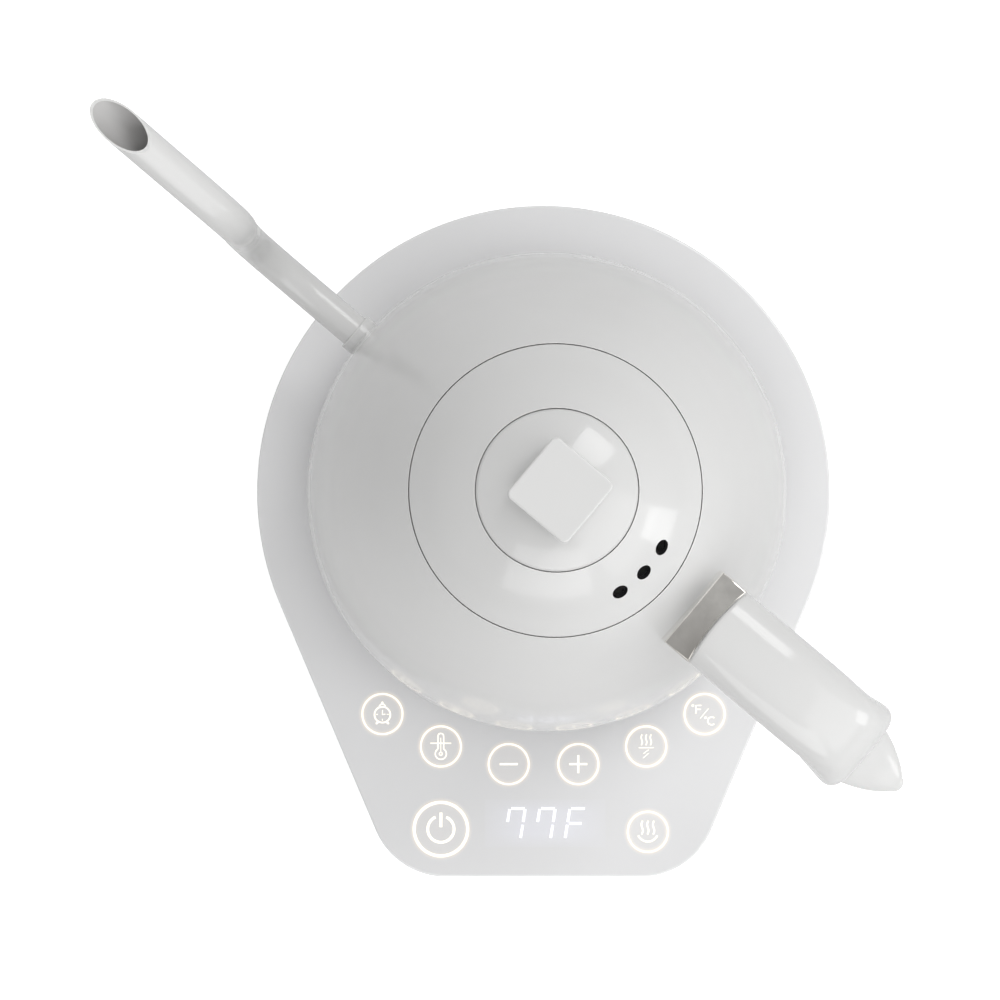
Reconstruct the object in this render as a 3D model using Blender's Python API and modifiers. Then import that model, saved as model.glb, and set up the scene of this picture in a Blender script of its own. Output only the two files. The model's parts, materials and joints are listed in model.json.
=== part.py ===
"""Electric gooseneck kettle standing on its touch-control power base.

The Z axis is the axis the kettle turns on. Z = 0 is the table, and the control panel faces -Y.
All lengths below are in millimetres and angles in degrees. Each mesh is scaled to metres as it is made.
The kettle and the lid are built in frames turned so that +X points to the handle and -X to the spout.
"""

import math

import bmesh
import bpy
from mathutils import Matrix, Vector

MM = 0.001
GAP = 0.3

# Facets round a full turn
ROUND_STEPS = 36
MIDDLE_STEPS = 28
SMALL_STEPS = 16
FINE_STEPS = 12

# Heights in the base, from the table up
FOOT_HEIGHT = 2.2
COVER_LOW = 2.5
COVER_HIGH = 4.5
POWER_BOARD_LOW = 6.5
TOUCH_BOARD_HIGH = 20.8
BOARD_THICKNESS = 1.6
DECK_LOW = 25.0
DECK_HIGH = 27.5
PANEL_LOW = 27.8
BASE_TOP = 30.0

# Base outline: a circle with two tangent sides that run in to a straight front edge
BASE_RADIUS = 85.0
BASE_FRONT = 114.0
BASE_SIDE_ANGLE = 23.0
BASE_CORNER_RADIUS = 22.5
BASE_WALL = 2.4
PANEL_CHAMFER = 0.7
HOUSING_CHAMFER = 1.2

# Fixings and feet
FOOT_RADIUS = 6.5
FOOT_PLACES = {
    "back_right": (57.3, 40.1),
    "back_left": (-57.3, 40.1),
    "front_right": (36.0, -92.0),
    "front_left": (-36.0, -92.0),
    "centre": (0.0, 0.0),
}
SCREW_PLACES = ((66.0, 12.0), (-66.0, 12.0), (60.0, -48.0), (-60.0, -48.0))
SCREW_HEAD = 3.2
SCREW_SHANK = 1.4
SCREW_HEAD_HIGH = 3.3
SCREW_TIP = 14.0
BOSS_RADIUS = 3.4
BOSS_LOW = 5.0

# Underside cord store, plug and its pocket
HUB_RADIUS = 30.0
STORE_RADIUS = 52.8
STORE_ROOF = 19.0
STORE_WALL = 1.2
CORD_RADIUS = 3.2
CORD_HEIGHT = 10.0
CORD_CLEARANCE = 0.7
CORD_HUB_ANGLE = 245.0
CORD_STORE_ANGLE = 185.0
CORD_END_ANGLE = -600.0
CORD_TO_PLUG = ((-19.6, 45.4), (-15.6, 47.6), (-13.0, 50.2), (-12.4, 52.2), (-12.4, 53.8))
POCKET_LOW = (-24.8, 53.2)
POCKET_HIGH = (24.8, 76.4)
POCKET_ROOF = 21.2
PLUG_LOW = (-20.0, 54.2, 3.2)
PLUG_HIGH = (6.0, 76.0, 20.8)
BLADE_LENGTH = 16.0
BLADE_WIDTH = 6.2
BLADE_THICKNESS = 1.5
BLADE_SPACING = 12.7
BLADE_LEVEL = 17.0
EARTH_PIN_RADIUS = 2.3
EARTH_PIN_LEVEL = 5.9

# Control panel
KEY_ARC_RADIUS = 81.2
KEY_ARC = {"alarm": -36.0, "preset": -22.0, "minus": -7.3, "plus": 7.3, "boil": 22.0, "unit": 36.0}
KEY_RADIUS = 6.2
KEY_WALL = 1.6
KEEP_WARM_KEY = (30.9, -100.6)
POWER_KEY = (-30.4, -99.8)
POWER_KEY_RADIUS = 8.35
DISPLAY = (0.5, -98.1)
DISPLAY_SIZE = (35.4, 13.8)
DECK_OPENING = ((37.0, -108.7), (40.5, -98.0), (53.5, -75.0), (56.0, -57.0))
TOUCH_BOARD = ((38.0, -105.0), (50.0, -84.0), (56.0, -58.0))

# Round connector: contact grooves as (inner radius, outer radius)
CONNECTOR_TOP = BASE_TOP + 8.0
CONNECTOR_RADIUS = 15.0
CONNECTOR_HOLE = 15.6
GROOVES = ((5.6, 7.4), (9.8, 11.6))
GROOVE_FLOOR = 29.0
PIN_BORE = 2.3
SOCKET_ROOF = 38.8
SOCKET_TOP = 45.0

# Kettle body: half an ellipse turned round the axis, then a slight tuck below its widest level
HANDLE_TURN = -40.0
BODY_RADIUS = 67.5
BODY_WIDEST = BASE_TOP + 15.8
BODY_RISE = 149.0
BODY_FOOT = BASE_TOP + 0.4
SHELL_EDGE = 39.0
SHELL_THICKNESS = 1.0
FLOOR_TOP = 56.0
FLOOR_RADIUS = 65.1
PLATE_RADIUS = 48.0
ELEMENT_CIRCLE = 40.0
ELEMENT_RADIUS = 3.4
PROBE_PLACE = (-28.0, 0.0)
CUTOUT_PLACE = (28.0, 0.0)

# Lid
LID_RADIUS = 33.8
NECK_RADIUS = 33.9
NECK_LOW = 158.0
NECK_HIGH = 171.5
CAP_RADIUS = 18.1
CAP_THICKNESS = 1.7
LID_WELL = 2.0
LID_THICKNESS = 1.6
VENT_RADIUS = 1.9
VENT_CIRCLE = 27.4
VENT_ANGLES = (11.6, -3.1, -17.8)
STEAM_HOLE_RADIUS = 2.2
STEAM_HOLE_CIRCLE = 22.0
GASKET_LEVEL = 165.0
KNOB_SIDE = 16.8
KNOB_CORNER = 1.5
KNOB_TOP = BASE_TOP + 187.0
KNOB_SCREW_TOP = 205.0

# Spout: centre line as (distance from the axis, height above the base top)
SPOUT_RADIUS = 4.6
SPOUT_WALL = 0.8
SPOUT_LINE = (
    (62.0, 40.2),
    (74.0, 41.8),
    (86.0, 43.6),
    (95.5, 47.0),
    (102.0, 54.0),
    (104.8, 64.0),
    (104.6, 78.0),
    (103.4, 93.0),
    (102.2, 106.0),
    (102.8, 115.0),
    (106.6, 121.4),
    (113.4, 126.2),
    (122.6, 131.8),
    (133.2, 138.5),
    (143.8, 145.2),
)
MOUTH_HEIGHT = BASE_TOP + 138.5
COLLAR_START = 67.0
COLLAR_LENGTH = 2.6
COLLAR_RADIUS = SPOUT_RADIUS + 0.9
STRAINER_PLACE = (60.8, 40.0)
STRAINER_RADIUS = 8.0
STRAINER_THICKNESS = 0.8
STRAINER_HOLE = 1.1
STRAINER_CIRCLE = 4.6

# Grip: (distance from the axis, height above the base top, half width outside and inside,
# half thickness, squareness from 1 for an ellipse towards 0 for a rectangle)
GRIP_STATIONS = (
    (49.9, 135.6, 10.3, 10.3, 8.3, 0.80),
    (50.7, 135.6, 10.8, 10.8, 8.9, 0.80),
    (60.0, 135.8, 10.9, 10.9, 9.0, 0.80),
    (72.0, 135.2, 11.0, 11.0, 9.0, 0.80),
    (80.0, 133.6, 11.0, 11.0, 9.0, 0.78),
    (86.4, 129.8, 11.1, 10.7, 9.2, 0.68),
    (90.2, 122.8, 12.0, 10.4, 8.8, 0.50),
    (92.2, 112.0, 12.9, 10.2, 8.2, 0.38),
    (94.2, 98.0, 12.0, 10.2, 7.6, 0.44),
    (97.2, 84.0, 11.0, 10.2, 7.0, 0.58),
    (102.0, 73.0, 10.0, 10.0, 6.0, 0.72),
    (109.0, 65.8, 9.3, 9.3, 4.8, 0.78),
    (115.6, 62.4, 7.0, 7.0, 3.6, 0.80),
    (120.4, 61.0, 4.2, 4.2, 2.6, 0.80),
    (122.6, 60.6, 2.3, 2.3, 1.7, 0.80),
)
GRIP_CORNERS = 16
FRONT_BOW = 1.2

# Bracket, its tongue inside the grip, and the screw that holds the two together
BRACKET_INNER = 42.2
BRACKET_OUTER = 49.6
BRACKET_WIDTH = 21.4
BRACKET_TOP = BASE_TOP + 142.0
BRACKET_LOW = BASE_TOP + 108.0
BRACKET_CLEARANCE = 0.5
TONGUE_END = 63.0
TONGUE_HALF = 5.0
TONGUE_LOW = BASE_TOP + 131.0
TONGUE_HIGH = BASE_TOP + 139.0
GRIP_SCREW_AT = (57.0, 0.0)


def clear_scene():
    """Take every object of the startup scene out."""
    for item in list(bpy.data.objects):
        bpy.data.objects.remove(item, do_unlink=True)


def make_collection(name):
    """Add an empty collection to the scene."""
    collection = bpy.data.collections.new(name)
    bpy.context.scene.collection.children.link(collection)
    return collection


def make_frame(name, collection, turn):
    """Add an empty on the kettle's axis, turned about Z."""
    frame = bpy.data.objects.new(name, None)
    frame.rotation_euler = (0.0, 0.0, math.radians(turn))
    frame.empty_display_size = 20.0 * MM
    collection.objects.link(frame)
    return frame


def make_material(name, color, metallic=0.0, roughness=0.4):
    """Add a Principled BSDF material."""
    material = bpy.data.materials.new(name)
    material.use_nodes = True
    shader = material.node_tree.nodes["Principled BSDF"]
    shader.inputs["Base Color"].default_value = (*color, 1.0)
    shader.inputs["Metallic"].default_value = metallic
    shader.inputs["Roughness"].default_value = roughness
    return material


clear_scene()
PART = make_collection("gooseneck_kettle")
CUTTERS = make_collection("cutters")
BASE = make_frame("base_frame", PART, 0.0)
KETTLE = make_frame("kettle_frame", PART, HANDLE_TURN)
LID = make_frame("lid_frame", PART, HANDLE_TURN)

WHITE_LACQUER = make_material("white_lacquer", (0.86, 0.86, 0.85), 0.0, 0.12)
WHITE_PANEL = make_material("white_panel", (0.78, 0.78, 0.78), 0.0, 0.08)
WHITE_PLASTIC = make_material("white_plastic", (0.80, 0.80, 0.79), 0.0, 0.35)
GREY_PLASTIC = make_material("grey_plastic", (0.25, 0.25, 0.26), 0.0, 0.5)
CHROME = make_material("chrome", (0.80, 0.78, 0.75), 1.0, 0.08)
STEEL = make_material("brushed_steel", (0.62, 0.61, 0.60), 1.0, 0.3)
ALUMINIUM = make_material("aluminium", (0.70, 0.71, 0.72), 1.0, 0.4)
BRASS = make_material("brass", (0.78, 0.60, 0.27), 1.0, 0.25)
RUBBER = make_material("rubber", (0.05, 0.05, 0.05), 0.0, 0.8)
SILICONE = make_material("silicone", (0.55, 0.56, 0.57), 0.0, 0.6)
CORD_WHITE = make_material("cord_white", (0.72, 0.72, 0.70), 0.0, 0.55)
BOARD = make_material("circuit_board", (0.03, 0.22, 0.10), 0.0, 0.45)
BLACK_PLASTIC = make_material("black_plastic", (0.03, 0.03, 0.03), 0.0, 0.4)
LIGHT_GUIDE = make_material("light_guide", (0.92, 0.90, 0.82), 0.0, 0.3)


def add_object(name, data, material, parent):
    """Put new data in the scene as a part, or as a cutter when it has no material."""
    item = bpy.data.objects.new(name, data)
    item.parent = parent
    if material is None:
        item.hide_render = True
        item.display_type = "WIRE"
        CUTTERS.objects.link(item)
    else:
        data.materials.append(material)
        PART.objects.link(item)
    return item


def turned(name, profile, material, parent=BASE, steps=ROUND_STEPS, closed=False, at=(0.0, 0.0)):
    """Turn a profile of (radius, height) points round a vertical axis."""
    mesh = bpy.data.meshes.new(name)
    points = [(radius * MM, 0.0, height * MM) for radius, height in profile]
    edges = [(i, i + 1) for i in range(len(points) - 1)]
    if closed:
        edges.append((len(points) - 1, 0))
    mesh.from_pydata(points, edges, [])
    item = add_object(name, mesh, material, parent)
    item.location = (at[0] * MM, at[1] * MM, 0.0)
    screw = item.modifiers.new("turn", "SCREW")
    screw.steps = steps
    screw.render_steps = steps
    screw.use_merge_vertices = True
    screw.merge_threshold = 0.00001
    screw.use_smooth_shade = True
    return item


def disc(name, radius, low, high, material, parent=BASE, steps=SMALL_STEPS, at=(0.0, 0.0)):
    """A plain cylinder that stands between two heights."""
    profile = [(0.0, high), (radius, high), (radius, low), (0.0, low)]
    return turned(name, profile, material, parent, steps, at=at)


def ring(name, inner, outer, low, high, material, parent=BASE, steps=SMALL_STEPS, at=(0.0, 0.0)):
    """A ring of rectangular section."""
    profile = [(inner, high), (outer, high), (outer, low), (inner, low)]
    return turned(name, profile, material, parent, steps, closed=True, at=at)


def box(name, low, high, material, parent=BASE, bevel=0.0):
    """A box between two opposite corners, with its edges rounded if a bevel is given."""
    size = Vector(high) - Vector(low)
    middle = (Vector(high) + Vector(low)) / 2
    shape = bmesh.new()
    place = Matrix.Translation(middle * MM) @ Matrix.Diagonal((*(size * MM), 1.0))
    bmesh.ops.create_cube(shape, size=1.0, matrix=place)
    mesh = bpy.data.meshes.new(name)
    shape.to_mesh(mesh)
    shape.free()
    item = add_object(name, mesh, material, parent)
    if bevel:
        round_edges(item, bevel)
    return item


def round_edges(item, width, segments=2):
    """Round the sharp edges of an object."""
    modifier = item.modifiers.new("edges", "BEVEL")
    modifier.width = width * MM
    modifier.segments = segments
    modifier.limit_method = "ANGLE"
    modifier.angle_limit = math.radians(50.0)


def tidy_mesh(mesh):
    """Weld the points that meet and turn every face outwards."""
    shape = bmesh.new()
    shape.from_mesh(mesh)
    bmesh.ops.remove_doubles(shape, verts=shape.verts, dist=1e-6)
    bmesh.ops.recalc_face_normals(shape, faces=shape.faces)
    shape.to_mesh(mesh)
    shape.free()


def curve_as_mesh(name, curve, material, parent):
    """Turn a curve into a welded mesh object and drop the curve."""
    source = bpy.data.objects.new(name + "_curve", curve)
    PART.objects.link(source)
    graph = bpy.context.evaluated_depsgraph_get()
    mesh = bpy.data.meshes.new_from_object(source.evaluated_get(graph))
    bpy.data.objects.remove(source, do_unlink=True)
    tidy_mesh(mesh)
    mesh.name = name
    return add_object(name, mesh, material, parent)


def prism(name, outline, low, high, material, parent=BASE):
    """An upright plate or block over a flat outline of (x, y) points."""
    curve = bpy.data.curves.new(name, "CURVE")
    curve.dimensions = "2D"
    curve.fill_mode = "BOTH"
    curve.extrude = (high - low) / 2 * MM
    spline = curve.splines.new("POLY")
    spline.points.add(len(outline) - 1)
    for point, (x, y) in zip(spline.points, outline):
        point.co = (x * MM, y * MM, 0.0, 1.0)
    spline.use_cyclic_u = True
    item = curve_as_mesh(name, curve, material, parent)
    item.data.transform(Matrix.Translation((0.0, 0.0, (high + low) / 2 * MM)))
    return item


def rods(name, lines, radius, material, parent=BASE, roundness=2):
    """Round rods or wires along lines of points, with flat ends."""
    curve = bpy.data.curves.new(name, "CURVE")
    curve.dimensions = "3D"
    curve.bevel_depth = radius * MM
    curve.bevel_resolution = roundness
    curve.use_fill_caps = True
    for points in lines:
        spline = curve.splines.new("POLY")
        spline.points.add(len(points) - 1)
        for point, place in zip(spline.points, points):
            point.co = (*(Vector(place) * MM), 1.0)
    item = curve_as_mesh(name, curve, material, parent)
    item.data.shade_smooth()
    return item


def rod(name, points, radius, material, parent=BASE, roundness=2):
    """One round rod or wire."""
    return rods(name, [points], radius, material, parent, roundness)


def combine(item, other, operation="DIFFERENCE"):
    """Apply another object to this one with a Boolean modifier."""
    modifier = item.modifiers.new(operation.lower(), "BOOLEAN")
    modifier.operation = operation
    modifier.solver = "EXACT"
    modifier.object = other


def smooth_path(points, steps):
    """Run a Catmull-Rom curve through the points, with this many pieces between neighbours."""
    first = 2 * points[0] - points[1]
    last = 2 * points[-1] - points[-2]
    padded = [first, *points, last]
    path = []
    for i in range(1, len(padded) - 2):
        before, start, end, after = padded[i - 1 : i + 3]
        for step in range(steps):
            t = step / steps
            bend = (2 * before - 5 * start + 4 * end - after) * t * t
            twist = (3 * start - before - 3 * end + after) * t * t * t
            path.append((2 * start + (end - before) * t + bend + twist) / 2)
    path.append(points[-1])
    return path


def polar(radius, angle):
    """(x, y) at this radius and angle."""
    return radius * math.cos(math.radians(angle)), radius * math.sin(math.radians(angle))


def arc(centre, radius, start, end, steps):
    """Points along a flat arc, both ends included."""
    angles = [start + (end - start) * i / steps for i in range(steps + 1)]
    turns = [polar(radius, angle) for angle in angles]
    return [(centre[0] + x, centre[1] + y) for x, y in turns]


def mirrored(half):
    """A closed outline from its right half, listed from the front to the back."""
    return [*half, *((-x, y) for x, y in half[::-1])]


def base_outline(inset):
    """The base's outline seen from above, moved inwards by the inset."""
    side = math.radians(BASE_SIDE_ANGLE)
    corner = BASE_CORNER_RADIUS - inset
    corner_y = BASE_CORNER_RADIUS - BASE_FRONT
    reach = BASE_RADIUS - BASE_CORNER_RADIUS
    corner_x = (reach + corner_y * math.sin(side)) / math.cos(side)
    back = arc((0.0, 0.0), BASE_RADIUS - inset, -BASE_SIDE_ANGLE, 180.0 + BASE_SIDE_ANGLE, 32)
    left = arc((-corner_x, corner_y), corner, 180.0 + BASE_SIDE_ANGLE, 270.0, 6)
    right = arc((corner_x, corner_y), corner, 270.0, 360.0 - BASE_SIDE_ANGLE, 6)
    return back + left + right


def key_places():
    """Name, place and radius of each touch key."""
    places = [(name, polar(KEY_ARC_RADIUS, angle - 90.0), KEY_RADIUS) for name, angle in KEY_ARC.items()]
    places.append(("power", POWER_KEY, POWER_KEY_RADIUS))
    places.append(("keep_warm", KEEP_WARM_KEY, KEY_RADIUS))
    return places


def build_base_housing():
    """Side wall and deck, open underneath, with bosses for the cover screws."""
    housing = prism("base_housing", base_outline(GAP), COVER_LOW, DECK_HIGH, WHITE_LACQUER)
    round_edges(housing, HOUSING_CHAMFER, 1)
    combine(housing, prism("cut_housing", base_outline(BASE_WALL), 0.0, DECK_LOW, None))
    for i, place in enumerate(SCREW_PLACES):
        bore = SCREW_SHANK + 0.4
        top = DECK_LOW + 1.0
        boss = ring(f"boss_{i}", bore, BOSS_RADIUS, BOSS_LOW, top, None, steps=FINE_STEPS, at=place)
        combine(housing, boss, "UNION")
    combine(housing, disc("cut_deck", CONNECTOR_HOLE, DECK_LOW - 5.0, BASE_TOP, None))
    combine(housing, prism("cut_controls", mirrored(DECK_OPENING), DECK_LOW - 5.0, BASE_TOP, None))


def build_base_panel():
    """Glossy top panel that covers the whole deck."""
    panel = prism("base_top_panel", base_outline(0.0), PANEL_LOW, BASE_TOP, WHITE_PANEL)
    round_edges(panel, PANEL_CHAMFER, 1)
    combine(panel, disc("cut_panel", CONNECTOR_HOLE, DECK_LOW, BASE_TOP + 5.0, None, steps=24))


def build_bottom_cover():
    """Bottom cover with the round cord store and the plug pocket sunk into it."""
    outline = base_outline(BASE_WALL + 0.4)
    cover = prism("base_bottom_cover", outline, COVER_LOW, COVER_HIGH, GREY_PLASTIC)
    drum_low, drum_high = COVER_LOW + 0.5, STORE_ROOF + STORE_WALL
    drum = disc("add_drum", STORE_RADIUS + STORE_WALL, drum_low, drum_high, None, steps=MIDDLE_STEPS)
    combine(cover, drum, "UNION")
    (left, front), (right, back) = POCKET_LOW, POCKET_HIGH
    low = (left - STORE_WALL, HUB_RADIUS + 15.0, COVER_LOW + 0.7)
    high = (right + STORE_WALL, back + STORE_WALL, POCKET_ROOF + STORE_WALL)
    combine(cover, box("add_pocket", low, high, None), "UNION")

    store = ring("cut_store", HUB_RADIUS, STORE_RADIUS, 0.0, STORE_ROOF, None, steps=MIDDLE_STEPS)
    combine(cover, store)
    combine(cover, box("cut_pocket", (left, front, 0.0), (right, back, POCKET_ROOF), None))
    hub_floor = COVER_HIGH + 0.6
    hub = disc("cut_hub", HUB_RADIUS - STORE_WALL, hub_floor, DECK_LOW, None, steps=MIDDLE_STEPS)
    combine(cover, hub)
    combine(cover, box("cut_link", (-23.0, 45.6, 0.0), (-6.0, 57.0, 14.8), None))
    combine(cover, box("cut_entry", (-34.0, -31.0, 5.8), (-10.0, -8.0, 14.6), None))
    for i, place in enumerate(SCREW_PLACES):
        bore, sink = SCREW_SHANK + 0.4, SCREW_HEAD + 0.4
        lip = SCREW_HEAD_HIGH + GAP
        profile = [(0.0, 8.0), (bore, 8.0), (bore, lip), (sink, lip), (sink, 0.0), (0.0, 0.0)]
        combine(cover, turned(f"cut_sink_{i}", profile, None, steps=FINE_STEPS, at=place))


def build_screws_and_feet():
    """Cover screws, four corner feet and one foot under the connector."""
    low = COVER_LOW + 0.1
    profile = [(0.0, SCREW_TIP), (SCREW_SHANK, SCREW_TIP - 1.0), (SCREW_SHANK, SCREW_HEAD_HIGH)]
    profile += [(SCREW_HEAD, SCREW_HEAD_HIGH), (SCREW_HEAD, low), (0.0, low)]
    for i, place in enumerate(SCREW_PLACES):
        turned(f"base_screw_{i + 1}", profile, STEEL, steps=8, at=place)
    rim = 0.6
    profile = [(0.0, FOOT_HEIGHT), (FOOT_RADIUS, FOOT_HEIGHT), (FOOT_RADIUS, rim)]
    profile += [(FOOT_RADIUS - rim, 0.0), (0.0, 0.0)]
    for name, place in FOOT_PLACES.items():
        turned("foot_" + name, profile, RUBBER, at=place, steps=SMALL_STEPS)


def build_controls():
    """Light guides of the touch keys, and the display on its board."""
    low = TOUCH_BOARD_HIGH + GAP
    for name, place, radius in key_places():
        guide = "touch_key_" + name
        ring(guide, radius - KEY_WALL, radius, low, DECK_HIGH, LIGHT_GUIDE, steps=FINE_STEPS, at=place)
    (x, y), (width, depth) = DISPLAY, DISPLAY_SIZE
    corner, opposite = (x - width / 2, y - depth / 2, low), (x + width / 2, y + depth / 2, DECK_HIGH)
    box("display_module", corner, opposite, BLACK_PLASTIC, bevel=0.4)
    board = mirrored(TOUCH_BOARD)
    prism("touch_board", board, TOUCH_BOARD_HIGH - BOARD_THICKNESS, TOUCH_BOARD_HIGH, BOARD)


def build_power_board():
    """Power board with its relay, transformer and buzzer."""
    top = POWER_BOARD_LOW + BOARD_THICKNESS
    box("power_board", (-34.0, -102.0, POWER_BOARD_LOW), (28.0, -62.0, top), BOARD)
    seat = top + GAP
    box("power_relay", (-28.0, -96.0, seat), (-10.0, -82.0, seat + 10.2), BLACK_PLASTIC, bevel=0.6)
    box("transformer", (-2.0, -94.0, seat), (14.0, -78.0, seat + 10.0), GREY_PLASTIC, bevel=0.8)
    disc("buzzer", 5.0, seat, seat + 7.0, BLACK_PLASTIC, at=(20.0, -70.0))


def build_base_connector():
    """Round connector that the kettle sits down on, with its two contact rings."""
    profile = [(0.0, 24.0), (PIN_BORE, 24.0), (PIN_BORE, CONNECTOR_TOP)]
    for inner, outer in GROOVES:
        profile += [(inner, CONNECTOR_TOP), (inner, GROOVE_FLOOR)]
        profile += [(outer, GROOVE_FLOOR), (outer, CONNECTOR_TOP)]
    edge, flange = 0.6, DECK_LOW - GAP
    profile += [(CONNECTOR_RADIUS - edge, CONNECTOR_TOP), (CONNECTOR_RADIUS, CONNECTOR_TOP - edge)]
    profile += [(CONNECTOR_RADIUS, flange), (20.0, flange), (20.0, 22.0)]
    profile += [(16.0, 22.0), (16.0, 12.0), (0.0, 12.0)]
    turned("base_connector", profile, GREY_PLASTIC, steps=20)
    for name, (inner, outer) in zip(("inner", "outer"), GROOVES):
        low = GROOVE_FLOOR + GAP
        ring("contact_ring_" + name, inner + GAP, outer - GAP, low, low + 1.1, BRASS)


def cord_path():
    """Centre line of the wound cord: out of the hub, round the store, then over to the plug."""
    inner = HUB_RADIUS + CORD_RADIUS + CORD_CLEARANCE
    outer = STORE_RADIUS - CORD_RADIUS - CORD_CLEARANCE
    path = []
    for i in range(6):
        share = i / 6
        radius = inner - 9.0 * (1.0 - share) ** 2
        angle = CORD_HUB_ANGLE + (CORD_STORE_ANGLE - CORD_HUB_ANGLE) * share
        path.append((*polar(radius, angle), CORD_HEIGHT))
    for i in range(45):
        share = i / 44
        angle = CORD_STORE_ANGLE + (CORD_END_ANGLE - CORD_STORE_ANGLE) * share
        path.append((*polar(inner + (outer - inner) * share, angle), CORD_HEIGHT))
    path += [(x, y, CORD_HEIGHT) for x, y in CORD_TO_PLUG]
    return path


def build_cord():
    """Mains cord in its store, the clamp over its inner end, and the parked plug."""
    rod("mains_cord", cord_path(), CORD_RADIUS, CORD_WHITE, roundness=1)
    clamp_low = CORD_HEIGHT + CORD_RADIUS + 0.4
    box("cord_clamp", (-13.0, -24.5, clamp_low), (-7.0, -19.5, clamp_low + 3.4), GREY_PLASTIC, bevel=0.5)
    box("plug_body", PLUG_LOW, PLUG_HIGH, CORD_WHITE, bevel=2.0)
    start = PLUG_HIGH[0] + GAP
    middle = (PLUG_LOW[1] + PLUG_HIGH[1]) / 2
    for name, side in (("plug_blade_1", -0.5), ("plug_blade_2", 0.5)):
        y = middle + side * BLADE_SPACING
        low = (start, y - BLADE_THICKNESS / 2, BLADE_LEVEL - BLADE_WIDTH / 2)
        high = (start + BLADE_LENGTH, y + BLADE_THICKNESS / 2, BLADE_LEVEL + BLADE_WIDTH / 2)
        box(name, low, high, BRASS, bevel=0.3)
    ends = [(x, middle, EARTH_PIN_LEVEL) for x in (start, start + BLADE_LENGTH + 1.2)]
    rod("plug_earth_pin", ends, EARTH_PIN_RADIUS, BRASS)


def body_height(radius):
    """Height of the body's outer surface at this radius, above its widest level."""
    return BODY_WIDEST + BODY_RISE * math.sqrt(1.0 - (radius / BODY_RADIUS) ** 2)


def body_point(angle, inset=0.0):
    """(radius, height) on the body's outer profile, moved in along the normal. Angle 0 is the top."""
    turn = math.radians(angle)
    normal = Vector((math.sin(turn) / BODY_RADIUS, math.cos(turn) / BODY_RISE)).normalized()
    place = Vector((BODY_RADIUS * math.sin(turn), BODY_WIDEST + BODY_RISE * math.cos(turn)))
    return tuple(place - normal * inset)


def spout_place(place):
    """A spout point, given as (distance, height above the base top), in the kettle's frame."""
    return Vector((-place[0], 0.0, BASE_TOP + place[1]))


def build_vessel():
    """Body shell with its spout hole, and the lid's neck."""
    edge = LID_RADIUS + 0.4
    first = math.degrees(math.asin(edge / BODY_RADIUS))
    angles = [first + (90.0 - first) * i / 9 for i in range(10)]
    outer = [body_point(angle) for angle in angles]
    outer += [(67.3, 42.5), (66.8, SHELL_EDGE)]
    inner = [(edge, body_height(edge) - 1.65)]
    inner += [body_point(angle, SHELL_THICKNESS) for angle in angles[1::2]]
    inner += [(66.3, 42.5), (65.8, SHELL_EDGE)]
    shell = turned("vessel_shell", outer + inner[::-1], WHITE_LACQUER, KETTLE, closed=True)
    start, end = spout_place(SPOUT_LINE[0]), spout_place(SPOUT_LINE[1])
    along = (end - start).normalized()
    line = [start - along * 15.0, start + along * 25.0]
    combine(shell, rod("cut_spout_hole", line, SPOUT_RADIUS + 0.4, None, KETTLE))
    ring("lid_neck", NECK_RADIUS, NECK_RADIUS + 0.7, NECK_LOW, NECK_HIGH, STEEL, KETTLE, ROUND_STEPS)


def build_heater():
    """Vessel floor, heating plate and element, thermal cut-out and temperature probe."""
    rim, under = FLOOR_TOP + 4.0, FLOOR_TOP - 1.0
    profile = [(0.0, FLOOR_TOP), (FLOOR_RADIUS - 1.2, FLOOR_TOP), (FLOOR_RADIUS - 0.9, rim)]
    profile += [(FLOOR_RADIUS, rim), (FLOOR_RADIUS - 0.2, under), (0.0, under)]
    floor = turned("vessel_floor", profile, STEEL, KETTLE, 32)
    plate_high = under - 0.4
    plate_low = plate_high - 3.8
    plate = disc("heating_plate", PLATE_RADIUS, plate_low, plate_high, ALUMINIUM, KETTLE, MIDDLE_STEPS)
    for item in (floor, plate):
        cutter = disc("cut_" + item.name, 2.9, 45.0, 65.0, None, KETTLE, FINE_STEPS, at=PROBE_PLACE)
        combine(item, cutter)
    level = plate_low - 0.4 - ELEMENT_RADIUS
    loop = [(x, y, level) for x, y in arc((0.0, 0.0), ELEMENT_CIRCLE, -160.0, 160.0, 20)]
    rod("heating_element", loop, ELEMENT_RADIUS, STEEL, KETTLE, roundness=1)
    disc("thermal_cutout", 5.8, 44.5, plate_low - 0.4, BLACK_PLASTIC, KETTLE, at=CUTOUT_PLACE)
    profile = [(0.0, 67.0), (1.6, 66.4), (2.4, 65.0), (2.4, 43.0), (0.0, 43.0)]
    turned("temperature_probe", profile, STEEL, KETTLE, FINE_STEPS, at=PROBE_PLACE)


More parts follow.
